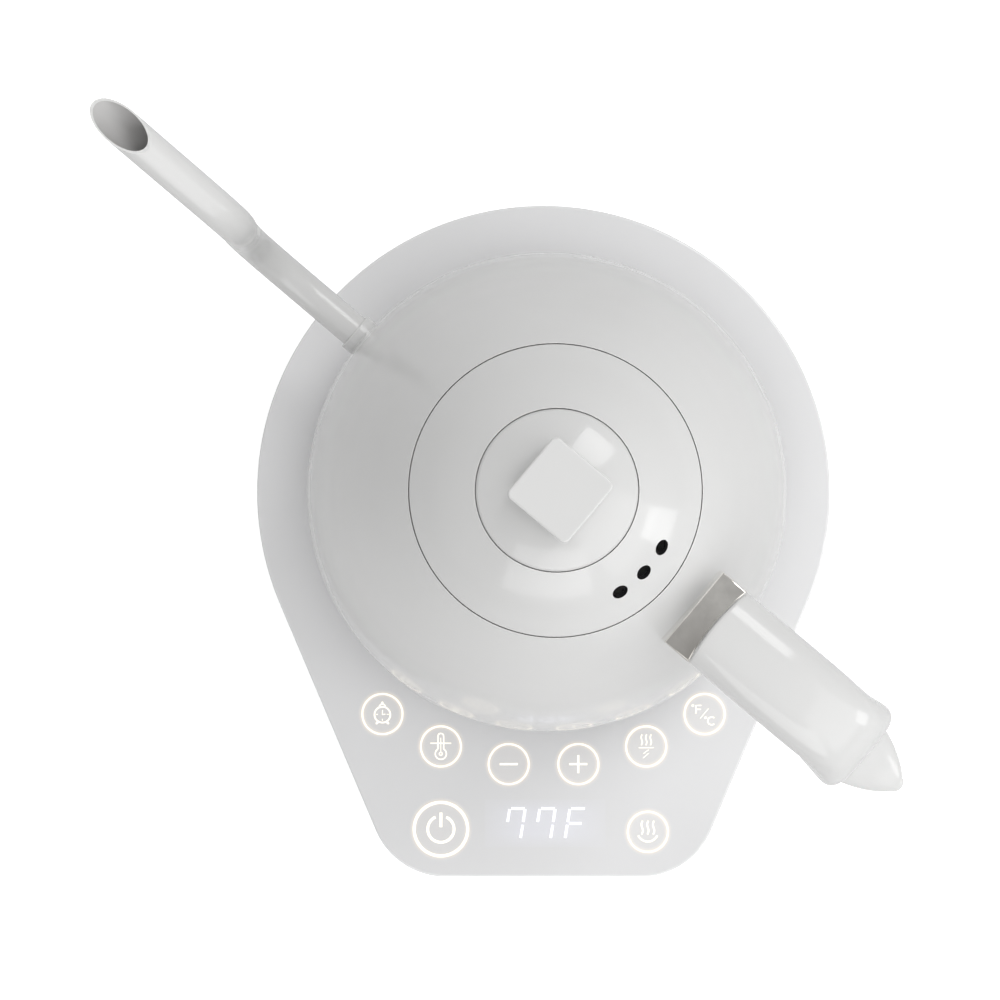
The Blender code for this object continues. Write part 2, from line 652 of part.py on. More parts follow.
def build_kettle_connector():
    """Round socket under the kettle that turns on the base connector."""
    outer, inner = CONNECTOR_RADIUS + 2.6, CONNECTOR_RADIUS + 0.8
    rim, slot_roof = BASE_TOP + 1.4, SOCKET_TOP - 1.7
    profile = [(0.0, SOCKET_TOP), (19.5, SOCKET_TOP), (19.5, SOCKET_TOP - 2.0), (outer, SOCKET_TOP - 2.0)]
    profile += [(outer, rim), (inner, rim), (inner, SOCKET_ROOF)]
    for near, far in GROOVES[::-1]:
        profile += [(far - GAP, SOCKET_ROOF), (far - GAP, slot_roof)]
        profile += [(near + GAP, slot_roof), (near + GAP, SOCKET_ROOF)]
    profile += [(2.0, SOCKET_ROOF), (2.0, SOCKET_TOP - 0.7), (0.0, SOCKET_TOP - 0.7)]
    turned("kettle_connector", profile, GREY_PLASTIC, KETTLE, 20)
    disc("connector_pin", 1.7, 25.5, SOCKET_TOP - 1.0, BRASS, KETTLE, FINE_STEPS)
    for name, (near, far) in zip(("inner", "outer"), GROOVES):
        low, high = BASE_TOP + 1.0, slot_roof - GAP
        ring("connector_ring_" + name, near + 0.6, far - 0.6, low, high, BRASS, KETTLE)


def build_kettle_bottom_cover():
    """Plastic cover that closes the body's underside and carries it on its foot ring."""
    top = SHELL_EDGE - GAP
    outer = [(66.5, top), (65.6, 34.0), (62.0, 30.8), (59.5, BODY_FOOT), (55.5, BODY_FOOT)]
    collar = CONNECTOR_RADIUS + 3.1
    under = [(54.6, 33.6), (collar, 33.6), (collar, 42.7), (collar + 1.7, 42.7), (collar + 1.7, 35.4)]
    inside = [(56.0, 35.4), (57.4, 32.6), (61.4, 32.6), (64.4, top)]
    profile = outer + under + inside
    turned("kettle_bottom_cover", profile, GREY_PLASTIC, KETTLE, MIDDLE_STEPS, closed=True)


def build_spout():
    """Gooseneck tube with its level-cut mouth, and the collar where it meets the body."""
    path = smooth_path([spout_place(place) for place in SPOUT_LINE], 2)
    tube = rod("spout_tube", path, SPOUT_RADIUS, WHITE_LACQUER, KETTLE, roundness=3)
    along, beyond = (path[1] - path[0]).normalized(), (path[-1] - path[-2]).normalized()
    bore_path = [path[0] - along * 4.0, *path[1:-1], path[-1] + beyond * 4.0]
    combine(tube, rod("cut_spout_bore", bore_path, SPOUT_RADIUS - SPOUT_WALL, None, KETTLE))
    low, high = (-160.0, -20.0, MOUTH_HEIGHT), (-100.0, 20.0, MOUTH_HEIGHT + 30.0)
    combine(tube, box("cut_spout_mouth", low, high, None, KETTLE))

    root = path[0] + along * ((COLLAR_START - SPOUT_LINE[0][0]) / -along.x)
    line = [root, root + along * COLLAR_LENGTH]
    collar = rod("spout_collar", line, COLLAR_RADIUS, WHITE_LACQUER, KETTLE, roundness=4)
    round_edges(collar, 0.4, 1)
    line = [root - along * 2.0, root + along * 5.0]
    combine(collar, rod("cut_collar", line, SPOUT_RADIUS + GAP, None, KETTLE, roundness=4))


def build_strainer():
    """Drilled disc inside the body, over the spout's inlet."""
    middle = spout_place(STRAINER_PLACE)
    thickness = Vector((STRAINER_THICKNESS, 0.0, 0.0))
    line = [middle + thickness, middle]
    strainer = rod("spout_strainer", line, STRAINER_RADIUS, STEEL, KETTLE, roundness=4)
    lines = []
    for side, up in [(0.0, 0.0)] + [polar(STRAINER_CIRCLE, angle) for angle in range(0, 360, 60)]:
        place = middle + Vector((0.0, side, up))
        lines.append([place - thickness * 4.0, place + thickness * 5.0])
    combine(strainer, rods("cut_strainer", lines, STRAINER_HOLE, None, KETTLE))


def grip_sections():
    """Rounded cross sections of the grip, each square to the line it follows."""
    middles = [Vector((station[0], 0.0, BASE_TOP + station[1])) for station in GRIP_STATIONS]
    sections = []
    for i, (_, _, outer, inner, half_thickness, squareness) in enumerate(GRIP_STATIONS):
        along = (middles[min(i + 1, len(middles) - 1)] - middles[max(i - 1, 0)]).normalized()
        up = Vector((-along.z, 0.0, along.x))
        section = []
        for corner in range(GRIP_CORNERS):
            turn = 2.0 * math.pi * (corner + 0.5) / GRIP_CORNERS
            side = math.copysign(abs(math.cos(turn)) ** squareness, math.cos(turn))
            rise = math.copysign(abs(math.sin(turn)) ** squareness, math.sin(turn))
            half_width = inner + (outer - inner) * (1.0 + rise) / 2
            place = middles[i] + Vector((0.0, side * half_width, 0.0)) + up * rise * half_thickness
            if i < 2:
                place.x -= FRONT_BOW * (1.0 - side * side)
            section.append(place * MM)
        sections.append(section)
    return sections


def build_grip():
    """Grip lofted through its sections, with a pocket for the bracket's tongue."""
    sections = grip_sections()
    count = GRIP_CORNERS
    points = [point for section in sections for point in section]
    faces = [tuple(range(count))]
    for i in range(len(sections) - 1):
        for j in range(count):
            k = (j + 1) % count
            faces.append((i * count + j, i * count + k, (i + 1) * count + k, (i + 1) * count + j))
    faces.append(tuple(range(len(points) - count, len(points))))
    mesh = bpy.data.meshes.new("handle_grip")
    mesh.from_pydata(points, [], faces)
    tidy_mesh(mesh)
    mesh.shade_smooth()
    grip = add_object("handle_grip", mesh, WHITE_LACQUER, KETTLE)

    half = TONGUE_HALF + 0.4
    low = (BRACKET_INNER, -half, TONGUE_LOW - 0.4)
    high = (TONGUE_END + 1.0, half, TONGUE_HIGH + 0.4)
    combine(grip, box("cut_grip_pocket", low, high, None, KETTLE))
    low, lip = BRACKET_LOW, TONGUE_LOW - 2.6
    profile = [(0.0, TONGUE_LOW), (1.8, TONGUE_LOW), (1.8, lip), (3.2, lip), (3.2, low), (0.0, low)]
    combine(grip, turned("cut_grip_screw", profile, None, KETTLE, FINE_STEPS, at=GRIP_SCREW_AT))


def build_bracket():
    """Chrome bracket between the body and the grip, its tongue, and the grip's screw."""
    half = BRACKET_WIDTH / 2
    sides = [half * (1.0 - i / 5) for i in range(11)]
    outline = [(BRACKET_OUTER - FRONT_BOW * (1.0 - (side / half) ** 2), side) for side in sides]
    outline += [(BRACKET_INNER, -half), (BRACKET_INNER, half)]
    bracket = prism("handle_bracket", outline[::-1], BRACKET_LOW, BRACKET_TOP, CHROME, KETTLE)
    round_edges(bracket, 0.6)
    low, high = (46.0, -TONGUE_HALF, TONGUE_LOW), (TONGUE_END, TONGUE_HALF, TONGUE_HIGH)
    combine(bracket, box("add_tongue", low, high, None, KETTLE), "UNION")
    outside = [body_point(angle, -BRACKET_CLEARANCE) for angle in range(15, 91, 5)]
    profile = [(0.0, outside[0][1]), *outside, (0.0, BODY_WIDEST)]
    combine(bracket, turned("cut_body", profile, None, KETTLE))
    top = TONGUE_HIGH - 1.2
    hole = disc("cut_tongue", 1.7, BRACKET_LOW, top, None, KETTLE, FINE_STEPS, at=GRIP_SCREW_AT)
    combine(bracket, hole)

    head, low, tip = TONGUE_LOW - 2.9, TONGUE_LOW - 4.1, TONGUE_HIGH - 2.0
    profile = [(0.0, tip), (1.4, tip - 0.6), (1.4, head), (2.9, head), (2.9, low), (0.0, low)]
    turned("grip_screw", profile, STEEL, KETTLE, FINE_STEPS, at=GRIP_SCREW_AT)


def build_lid():
    """Lid dome with its steam vents, and the centre cap let into it."""
    well = CAP_RADIUS + GAP
    profile = [(radius, body_height(radius) - LID_WELL) for radius in (0.0, 9.0, well)]
    profile += [(radius, body_height(radius)) for radius in (well, 23.0, 28.0, 31.2, LID_RADIUS)]
    rim = NECK_HIGH + 0.9
    profile += [(LID_RADIUS - 0.2, rim), (LID_RADIUS - 1.6, rim), (LID_RADIUS - 1.6, rim + 2.7)]
    profile += [(27.0, body_height(27.0) - LID_THICKNESS), (20.0, 186.0), (17.5, 185.4)]
    profile += [(radius, body_height(radius) - LID_WELL - LID_THICKNESS) for radius in (9.0, 0.0)]
    dome = turned("lid_dome", profile, WHITE_LACQUER, LID, MIDDLE_STEPS)
    slope = math.degrees(math.asin(VENT_CIRCLE / BODY_RADIUS))
    ends = body_point(slope, 5.0), body_point(slope, -5.0)
    lines = [[(*polar(radius, angle), height) for radius, height in ends] for angle in VENT_ANGLES]
    combine(dome, rods("cut_vents", lines, VENT_RADIUS, None, LID))

    profile = [(radius, body_height(radius)) for radius in (0.0, 6.0, 12.0, CAP_RADIUS - 0.5)]
    profile += [(CAP_RADIUS, body_height(CAP_RADIUS) - 0.4)]
    profile += [(radius, body_height(radius) - CAP_THICKNESS) for radius in (CAP_RADIUS, 9.0, 0.0)]
    cap = turned("lid_cap", profile, WHITE_LACQUER, LID, MIDDLE_STEPS)
    for item in (dome, cap):
        cutter = disc("cut_" + item.name, 1.9, 180.0, 210.0, None, LID, FINE_STEPS)
        combine(item, cutter)


def build_lid_insert():
    """Cup under the lid that fits the neck, with steam holes and a gasket in its groove."""
    profile = [(0.0, 161.0), (30.2, 161.0), (30.2, 171.6), (32.7, 171.6), (32.7, 167.6), (31.7, 167.6)]
    profile += [(31.7, 162.4), (32.7, 162.4), (32.7, 160.2), (31.9, 159.4), (0.0, 159.4)]
    insert = turned("lid_insert", profile, WHITE_PLASTIC, LID, MIDDLE_STEPS)
    heights = (150.0, 165.0)
    lines = [[(*polar(STEAM_HOLE_CIRCLE, angle), z) for z in heights] for angle in VENT_ANGLES]
    combine(insert, rods("cut_insert", lines, STEAM_HOLE_RADIUS, None, LID))
    profile = [(32.0, 2.0), (33.0, 2.0), (33.6, 1.0), (33.0, 0.0), (33.6, -1.0), (33.0, -2.0), (32.0, -2.0)]
    lips = [(radius, GASKET_LEVEL + height) for radius, height in profile]
    turned("lid_gasket", lips, SILICONE, LID, MIDDLE_STEPS, closed=True)


def build_knob():
    """Square knob with rounded corners, held by a screw from under the lid."""
    reach = KNOB_SIDE / 2 - KNOB_CORNER
    outline = []
    for x, y, start in ((reach, reach, 0), (-reach, reach, 90), (-reach, -reach, 180), (reach, -reach, 270)):
        outline += arc((x, y), KNOB_CORNER, start, start + 90, 4)
    knob = prism("lid_knob", outline, body_height(0.0) + GAP, KNOB_TOP, WHITE_LACQUER, LID)
    round_edges(knob, 0.7)
    combine(knob, disc("cut_knob", 1.9, 190.0, KNOB_SCREW_TOP + 1.0, None, LID, FINE_STEPS))
    tip, head, low = KNOB_SCREW_TOP, 190.1, 188.2
    profile = [(0.0, tip), (1.5, tip - 0.8), (1.5, head), (3.6, head), (3.6, low), (0.0, low)]
    turned("knob_screw", profile, STEEL, LID, FINE_STEPS)


def build_all():
    """Build every piece of the kettle and its base."""
    build_base_housing()
    build_base_panel()
    build_bottom_cover()
    build_screws_and_feet()
    build_controls()
    build_power_board()
    build_base_connector()
    build_cord()
    build_vessel()
    build_heater()
    build_kettle_connector()
    build_kettle_bottom_cover()
    build_spout()
    build_strainer()
    build_bracket()
    build_grip()
    build_lid()
    build_lid_insert()
    build_knob()


build_all()
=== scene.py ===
"""Looks of an electric gooseneck kettle on its touch-control base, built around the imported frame.

Lengths are in millimetres and angles in degrees. Each mesh is scaled to metres as it is made.
The kettle and its lid are made in a frame turned so that +X points to the handle and -X to the spout.
"""

import json
import math

import bmesh
import bpy
from mathutils import Matrix, Vector


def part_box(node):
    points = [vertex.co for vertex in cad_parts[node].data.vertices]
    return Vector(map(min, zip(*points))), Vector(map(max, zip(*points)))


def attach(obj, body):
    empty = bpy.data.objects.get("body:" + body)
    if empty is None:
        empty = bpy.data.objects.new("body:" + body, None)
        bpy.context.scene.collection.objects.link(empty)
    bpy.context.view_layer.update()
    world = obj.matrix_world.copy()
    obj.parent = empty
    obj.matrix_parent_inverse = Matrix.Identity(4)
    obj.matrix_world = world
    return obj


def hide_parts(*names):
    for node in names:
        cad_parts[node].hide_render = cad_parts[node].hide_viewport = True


MM = 0.001

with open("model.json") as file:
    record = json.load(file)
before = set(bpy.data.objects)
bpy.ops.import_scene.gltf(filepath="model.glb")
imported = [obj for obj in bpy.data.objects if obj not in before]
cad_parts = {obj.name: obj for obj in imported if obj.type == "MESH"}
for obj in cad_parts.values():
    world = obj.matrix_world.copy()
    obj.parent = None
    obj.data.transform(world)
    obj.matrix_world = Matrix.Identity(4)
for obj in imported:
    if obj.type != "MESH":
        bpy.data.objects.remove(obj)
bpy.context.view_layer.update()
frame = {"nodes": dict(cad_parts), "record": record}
SLOT_OF = {part["node"]: part["material_slot"] for part in frame["record"]["subparts"]}
BODIES = frame["record"]["behaviour"]["bodies"]
BODY_OF = {node: body for body, nodes in BODIES.items() for node in nodes}
REMADE = set()


def low(node):
    """Lowest corner of a CAD node in millimetres."""
    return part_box(node)[0] / MM


def high(node):
    """Highest corner of a CAD node in millimetres."""
    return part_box(node)[1] / MM


def middle(node):
    """Middle of a CAD node's box in millimetres."""
    return (low(node) + high(node)) / 2


# Driving dimensions, read from the frame where a node's box gives them
HANDLE_TURN = -40.0
BASE_TOP = high("base_top_panel").z
BASE_RADIUS = high("base_top_panel").x
BASE_FRONT = -low("base_top_panel").y
BASE_SIDE_ANGLE = 23.0
BASE_CORNER_RADIUS = 22.5
BASE_WALL = 2.4
BASE_GAP = 0.3
CONNECTOR_HOLE = 15.6
DECK_THICKNESS = 2.5
DISPLAY_WINDOW = ((37.0, -108.7), (40.5, -98.0), (53.5, -75.0), (56.0, -57.0))
BODY_RADIUS = high("vessel_shell").x
BODY_WIDEST = BASE_TOP + 15.8
BODY_RISE = 149.0
DOME_GROWTH = 0.16
CAP_GROWTH = 0.28
KNOB_SIDE = 16.8
KNOB_CORNER = 1.5
SEAM_FILLET = 0.14
INNER_DEPTH = 0.8
CUT_MARGIN = 5.0
CAD_EDGE = 0.25

# Turned nodes are read a quarter turn from the handle, clear of their holes
SECTION_ANGLE = HANDLE_TURN + 90.0

# Fineness of the finished meshes
TURN_STEPS = 144
SMALL_TURN_STEPS = 48
CORNER_ANGLE = 22.0
CURVE_STEPS = 6
FILLET_STEPS = 5
ROUND_STEPS = 96
BASE_ARC_STEPS = 128
BASE_CORNER_STEPS = 24
SHARP_ANGLE = math.radians(40.0)

# Spout centre line as (distance from the axis, height above the base top)
SPOUT_LINE = (
    (62.0, 40.2), (74.0, 41.8), (86.0, 43.6), (95.5, 47.0), (102.0, 54.0),
    (104.8, 64.0), (104.6, 78.0), (103.4, 93.0), (102.2, 106.0), (102.8, 115.0),
    (106.6, 121.4), (113.4, 126.2), (122.6, 131.8), (133.2, 138.5), (143.8, 145.2),
)
SPOUT_RADIUS = 4.6
SPOUT_WALL = 0.45
SPOUT_RIM = 0.12
SPOUT_STEPS = 48
SPOUT_OVERRUN = 8
COLLAR_START = 66.0
COLLAR_LENGTH = 3.6
COLLAR_RADIUS = SPOUT_RADIUS + 0.9

# Grip stations as (distance from the axis, height above the base top, half width outside and inside,
# half thickness, squareness from 1 for an ellipse towards 0 for a rectangle)
GRIP_STATIONS = (
    (50.7, 135.6, 10.8, 10.8, 8.9, 0.80),
    (60.0, 135.8, 10.9, 10.9, 9.0, 0.80),
    (72.0, 135.2, 11.0, 11.0, 9.0, 0.80),
    (80.0, 133.6, 11.0, 11.0, 9.0, 0.78),
    (86.4, 129.8, 11.1, 10.7, 9.2, 0.68),
    (90.2, 122.8, 12.0, 10.4, 8.8, 0.50),
    (92.2, 112.0, 12.9, 10.2, 8.2, 0.38),
    (94.2, 98.0, 12.0, 10.2, 7.6, 0.44),
    (97.2, 84.0, 11.0, 10.2, 7.0, 0.58),
    (102.0, 73.0, 10.0, 10.0, 6.0, 0.72),
    (109.0, 65.8, 9.3, 9.3, 4.8, 0.78),
    (115.6, 62.4, 7.0, 7.0, 3.6, 0.80),
    (120.4, 61.0, 4.2, 4.2, 2.6, 0.80),
    (122.6, 60.6, 2.3, 2.3, 1.7, 0.80),
)
GRIP_CORNERS = 64

# Rows that round off the grip's ends, as (share of the end's size, distance beyond it)
GRIP_RIM = ((0.93, 0.75), (0.965, 0.62), (0.99, 0.35))
GRIP_TIP = ((0.92, 0.5), (0.75, 0.95), (0.5, 1.3), (0.22, 1.5))

FRONT_BOW = 1.2
BRACKET_INNER = 42.2
BRACKET_OUTER = 49.6
BRACKET_WIDTH = 21.4
BRACKET_CLEARANCE = 0.5
BRACKET_EDGE = 0.5
BOW_STEPS = 16

# Steam vents in the lid, as angles in the kettle's frame
VENT_RADIUS = 1.9
VENT_CIRCLE = 27.4
VENT_ANGLES = (11.6, -3.1, -17.8)
VENT_STEPS = 40
STEAM_HOLE_RADIUS = 2.2
STEAM_HOLE_CIRCLE = 22.0

# Mains cord, wound in its store under the base and led over to the plug
CORD_RADIUS = 3.2
CORD_HEIGHT = 10.0
CORD_INNER = 33.9
CORD_OUTER = 48.9
CORD_HUB_ANGLE = 245.0
CORD_STORE_ANGLE = 185.0
CORD_END_ANGLE = -600.0
CORD_LEAD = 9.0
CORD_LEAD_STEPS = 6
CORD_WIND_STEPS = 44
CORD_TO_PLUG = ((-19.6, 45.4), (-15.6, 47.6), (-13.0, 50.2), (-12.4, 52.2), (-12.4, 53.8))

# Lit lines on the control panel
LINE_HEIGHT = 0.06
RING_LINE = 0.5
POWER_LINE = 0.85
GLYPH_WEIGHT = 0.72
WAVE_STEPS = 14
DIGIT_HEIGHT = 9.6
DIGIT_WIDTH = 5.4
DIGIT_PITCH = 8.9
DIGIT_SLANT = 9.0
DIGIT_LINE = 0.8
SEGMENTS = {"7": "abcf", "F": "aefg"}
READING = "77F"

# Shades and light levels
LACQUER_COLOR = (0.635, 0.635, 0.63)
PANEL_COLOR = (0.74, 0.74, 0.745)
PANEL_GLOW = 0.16
FLOOR_GLOW = 0.45
FLOOR_BOUNCE = 0.66
HORIZON_LIGHT = 0.54
ZENITH_LIGHT = 0.43
WARM_GLOW = (1.0, 0.70, 0.34, 1.0)
COLD_GLOW = (0.56, 0.60, 1.0, 1.0)
LINE_LIGHT = 0.85

# Studio, in metres and watts, with the lens in millimetres. Each light has its name, place, target,
# size, power and whether it shows in reflections.
KETTLE_MIDDLE = (0.0, 0.0, 0.1)
LIGHTS = (
    ("top_light", (-0.1, 0.4, 1.9), KETTLE_MIDDLE, (2.2, 2.2), 12.0, False),
    ("key_light", (0.8, 0.9, 1.4), KETTLE_MIDDLE, (0.8, 0.8), 9.0, True),
    ("side_light", (1.1, -0.7, 1.0), KETTLE_MIDDLE, (1.4, 1.4), 6.0, True),
    ("front_light", (-0.1, -1.4, 0.8), KETTLE_MIDDLE, (1.5, 1.0), 9.0, True),
    ("low_light", (0.85, -0.28, 0.26), (0.03, -0.02, 0.17), (0.3, 0.3), 0.9, True),
)
FLOOR_HALF = 4.0
FLOOR_DROP = 0.0002
FLOOR_CELLS = 24
CAMERA_PLACE = (-0.01288, -0.00185)
CAMERA_RISE = 0.667
CAMERA_LENS = 81.04
CAMERA_SHIFT = -0.0015


# Mesh tools


def polar(radius, angle):
    """(x, y) at this radius and angle."""
    return radius * math.cos(math.radians(angle)), radius * math.sin(math.radians(angle))


def arc(centre, radius, start, end, steps):
    """Points along a flat arc, both ends included."""
    angles = [start + (end - start) * i / steps for i in range(steps + 1)]
    turns = [polar(radius, angle) for angle in angles]
    return [(centre[0] + x, centre[1] + y) for x, y in turns]


def circle(x, y, radius, steps=48):
    """Closed circle as a line of points."""
    return arc((x, y), radius, 0.0, 360.0 - 360.0 / steps, steps - 1)


def kettle_turn():
    """Rotation from the kettle's own frame to the shared frame."""
    return Matrix.Rotation(math.radians(HANDLE_TURN), 4, "Z")


def opened(mesh):
    """A mesh's geometry, open to editing."""
    shape = bmesh.new()
    shape.from_mesh(mesh)
    return shape


def closed_up(shape, mesh):
    """Write edited geometry back to its mesh, smooth except at its sharp edges."""
    shape.to_mesh(mesh)
    shape.free()
    mesh.shade_smooth()
    mesh.set_sharp_from_angle(angle=SHARP_ANGLE)
    return mesh


def round_edges(shape, edges, width, segments):
    """Round these edges of an opened mesh."""
    bmesh.ops.bevel(
        shape,
        geom=edges,
        offset=width * MM,
        segments=segments,
        profile=0.5,
        affect="EDGES",
        clamp_overlap=True,
    )


def split(shape, tolerance, point, normal, **clear):
    """Cut an opened mesh along a plane."""
    parts = shape.verts[:] + shape.edges[:] + shape.faces[:]
    return bmesh.ops.bisect_plane(
        shape, geom=parts, dist=tolerance, plane_co=point, plane_no=normal, **clear
    )


def make_mesh(name, points, faces, place=None):
    """A closed mesh from points in millimetres, with every face turned outwards."""
    mesh = bpy.data.meshes.new(name)
    mesh.from_pydata([Vector(point) * MM for point in points], [], faces)
    if place is not None:
        mesh.transform(place)
    shape = opened(mesh)
    bmesh.ops.remove_doubles(shape, verts=shape.verts, dist=1e-7)
    bmesh.ops.recalc_face_normals(shape, faces=shape.faces)
    return closed_up(shape, mesh)


def cut_mesh(mesh, cutter):
    """The mesh with the cutter taken out of it."""
    item = bpy.data.objects.new(mesh.name + "_source", mesh)
    other = bpy.data.objects.new(mesh.name + "_cutter", cutter)
    for part in (item, other):
        bpy.context.scene.collection.objects.link(part)
    modifier = item.modifiers.new("cut", "BOOLEAN")
    modifier.operation = "DIFFERENCE"
    modifier.solver = "EXACT"
    modifier.object = other
    graph = bpy.context.evaluated_depsgraph_get()
    result = bpy.data.meshes.new_from_object(item.evaluated_get(graph))
    for part in (item, other):
        bpy.data.objects.remove(part, do_unlink=True)
    result.set_sharp_from_angle(angle=SHARP_ANGLE)
    return result


def add_piece(name, mesh, body, slot, stands_for=(), materials=()):
    """Put a finished mesh in the scene, riding on a body of the frame."""
    piece = bpy.data.objects.new(name, mesh)
    bpy.context.scene.collection.objects.link(piece)
    for material in materials or [MATERIALS[slot]]:
        mesh.materials.append(material)
    normals = piece.modifiers.new("normals", "WEIGHTED_NORMAL")
    normals.keep_sharp = True
    normals.weight = 80
    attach(piece, body)
    if stands_for:
        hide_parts(*stands_for)
    return piece


def stand_in(node, mesh, materials=()):
    """A finished piece in place of one CAD node, on the same body and with the same slot."""
    REMADE.add(node)
    return add_piece(node + "_piece", mesh, BODY_OF[node], SLOT_OF[node], [node], materials)


# Turned pieces


def half_section(node, centre, angle):
    """Outline of a turned CAD node in the half plane at this angle, as (radius, height) points in order.

    The second value says whether the outline is closed. An open one starts and ends on the axis.
    """
    shape = opened(frame["nodes"][node].data)
    shape.transform(Matrix.Scale(1 / MM, 4))
    to_axis = Matrix.Translation((-centre[0], -centre[1], 0))
    shape.transform(Matrix.Rotation(-math.radians(angle), 4, "Z") @ to_axis)
    bmesh.ops.remove_doubles(shape, verts=shape.verts, dist=1e-3)
    for normal, clear in (((1, 0, 0), True), ((0, 1, 0), False)):
        cut = split(shape, 2e-3, (0, 0, 0), normal, clear_inner=clear)
    edges = [part for part in cut["geom_cut"] if isinstance(part, bmesh.types.BMEdge)]
    links = {}
    for edge in edges:
        first, second = edge.verts
        links.setdefault(first, []).append(second)
        links.setdefault(second, []).append(first)
    ends = [vertex for vertex, others in links.items() if len(others) == 1]
    closed = not ends
    start = max(ends or links, key=lambda vertex: (vertex.co.z, vertex.co.x))
    path, seen = [start], {start}
    while True:
        onward = [vertex for vertex in links[path[-1]] if vertex not in seen]
        if not onward:
            break
        path.append(onward[0])
        seen.add(onward[0])
    points = [Vector((vertex.co.x, vertex.co.z)) for vertex in path]
    shape.free()
    return points, closed


def turn_angle(before, point, after):
    """How far a line turns at a point, in degrees."""
    first, second = point - before, after - point
    return math.degrees(first.angle(second, 0.0))


def straightened(points, closed):
    """The outline without the points that lie on a straight stretch."""
    count = len(points)
    kept = []
    for i, point in enumerate(points):
        inside = closed or 0 < i < count - 1
        if not inside or turn_angle(points[i - 1], point, points[(i + 1) % count]) > 0.3:
            kept.append(point)
    return kept


def curve_through(points, steps=CURVE_STEPS):
    """A smooth curve through the points, with this many pieces between neighbours."""
    if len(points) < 3:
        return list(points)
    chords = [(b - a).length for a, b in zip(points, points[1:])]
    slopes = [(b - a) / length for a, b, length in zip(points, points[1:], chords)]
    tangents = []
    for i in range(1, len(points) - 1):
        share = chords[i - 1] + chords[i]
        tangents.append((slopes[i - 1] * chords[i] + slopes[i] * chords[i - 1]) / share)
    first, last = 2 * slopes[0] - tangents[0], 2 * slopes[-1] - tangents[-1]
    tangents = [first, *tangents, last]
    path = []
    for i, length in enumerate(chords):
        for step in range(steps):
            t = step / steps
            place = (2 * t**3 - 3 * t**2 + 1) * points[i] + (3 * t**2 - 2 * t**3) * points[i + 1]
            bend = (t**3 - 2 * t**2 + t) * tangents[i] + (t**3 - t**2) * tangents[i + 1]
            path.append(place + bend * length)
    path.append(points[-1])
    return path


def trimmed(points, length):
    """The line with this much taken off its start."""
    points = list(points)
    while len(points) > 2 and (points[1] - points[0]).length <= length:
        length -= (points[1] - points[0]).length
        points.pop(0)
    along = points[1] - points[0]
    share = min(length / max(along.length, 1e-9), 0.9)
    return [points[0] + along * share, *points[1:]]


def line_length(points):
    """Length of a line of points."""
    return sum((b - a).length for a, b in zip(points, points[1:]))


def rounded_outline(points, closed, fillet):
    """Curved stretches of the outline made smooth, and its corners rounded."""
    points = straightened(points, closed)
    count = len(points)
    places = range(count) if closed else range(1, count - 1)
    corners = [
        i for i in places if turn_angle(points[i - 1], points[i], points[(i + 1) % count]) > CORNER_ANGLE
    ]
    if closed:
        points = points[corners[0]:] + points[: corners[0] + 1]
        corners = [i - corners[0] for i in corners] + [count]
    else:
        corners = [0, *corners, count - 1]
    runs = [curve_through(points[a : b + 1]) for a, b in zip(corners, corners[1:])]
    reach = [min(fillet, 0.42 * line_length(run)) for run in runs]
    path = []
    for i, run in enumerate(runs):
        starts_on_axis = not closed and i == 0
        ends_on_axis = not closed and i == len(runs) - 1
        if not starts_on_axis:
            run = trimmed(run, min(reach[i], reach[i - 1]))
        if not ends_on_axis:
            run = trimmed(run[::-1], min(reach[i], reach[(i + 1) % len(runs)]))[::-1]
        path += run
        if ends_on_axis:
            continue
        corner = points[corners[i + 1]]
        onward = runs[(i + 1) % len(runs)]
        exit_point = trimmed(onward, min(reach[i], reach[(i + 1) % len(runs)]))[0]
        entry_point = path[-1]
        for step in range(1, FILLET_STEPS):
            t = step / FILLET_STEPS
            blend = (1 - t) ** 2 * entry_point + 2 * t * (1 - t) * corner + t**2 * exit_point
            path.append(blend)
    return path


def lathe(name, outline, closed, steps=TURN_STEPS, place=None):
    """Turn an outline of (radius, height) points round the vertical axis."""
    points, rings = [], []
    for radius, height in outline:
        if radius < 1e-4:
            rings.append([len(points)] * steps)
            points.append((0.0, 0.0, height))
            continue
        rings.append(list(range(len(points), len(points) + steps)))
        points += [(*polar(radius, 360.0 * i / steps), height) for i in range(steps)]
    pairs = list(zip(rings, rings[1:]))
    if closed:
        pairs.append((rings[-1], rings[0]))
    faces = []
    for upper, lower in pairs:
        for i in range(steps):
            k = (i + 1) % steps
            corners = [upper[i], upper[k], lower[k], lower[i]]
            face = [corner for j, corner in enumerate(corners) if corner not in corners[:j]]
            if len(face) > 2:
                faces.append(face)
    return make_mesh(name, points, faces, place)


def turned_again(node, fillet, steps=TURN_STEPS, centre=(0.0, 0.0), angle=0.0, grow=0.0):
    """The mesh of a turned CAD node made again with fine facets, smooth curves and rounded corners."""
    outline, closed = half_section(node, centre, angle)
    outline = [Vector((point.x + grow, point.y)) if point.x > grow else point for point in outline]
    outline = rounded_outline(outline, closed, fillet)
    place = Matrix.Translation(Vector((*centre, 0.0)) * MM)
    return lathe(node + "_piece", outline, closed, steps, place)


# Swept pieces


def section_frames(middles):
    """Direction along a line in the XZ plane, and the direction square to it, at each point."""
    frames = []
    for i in range(len(middles)):
        along = (middles[min(i + 1, len(middles) - 1)] - middles[max(i - 1, 0)]).normalized()
        frames.append((along, Vector((-along.z, 0.0, along.x))))
    return frames


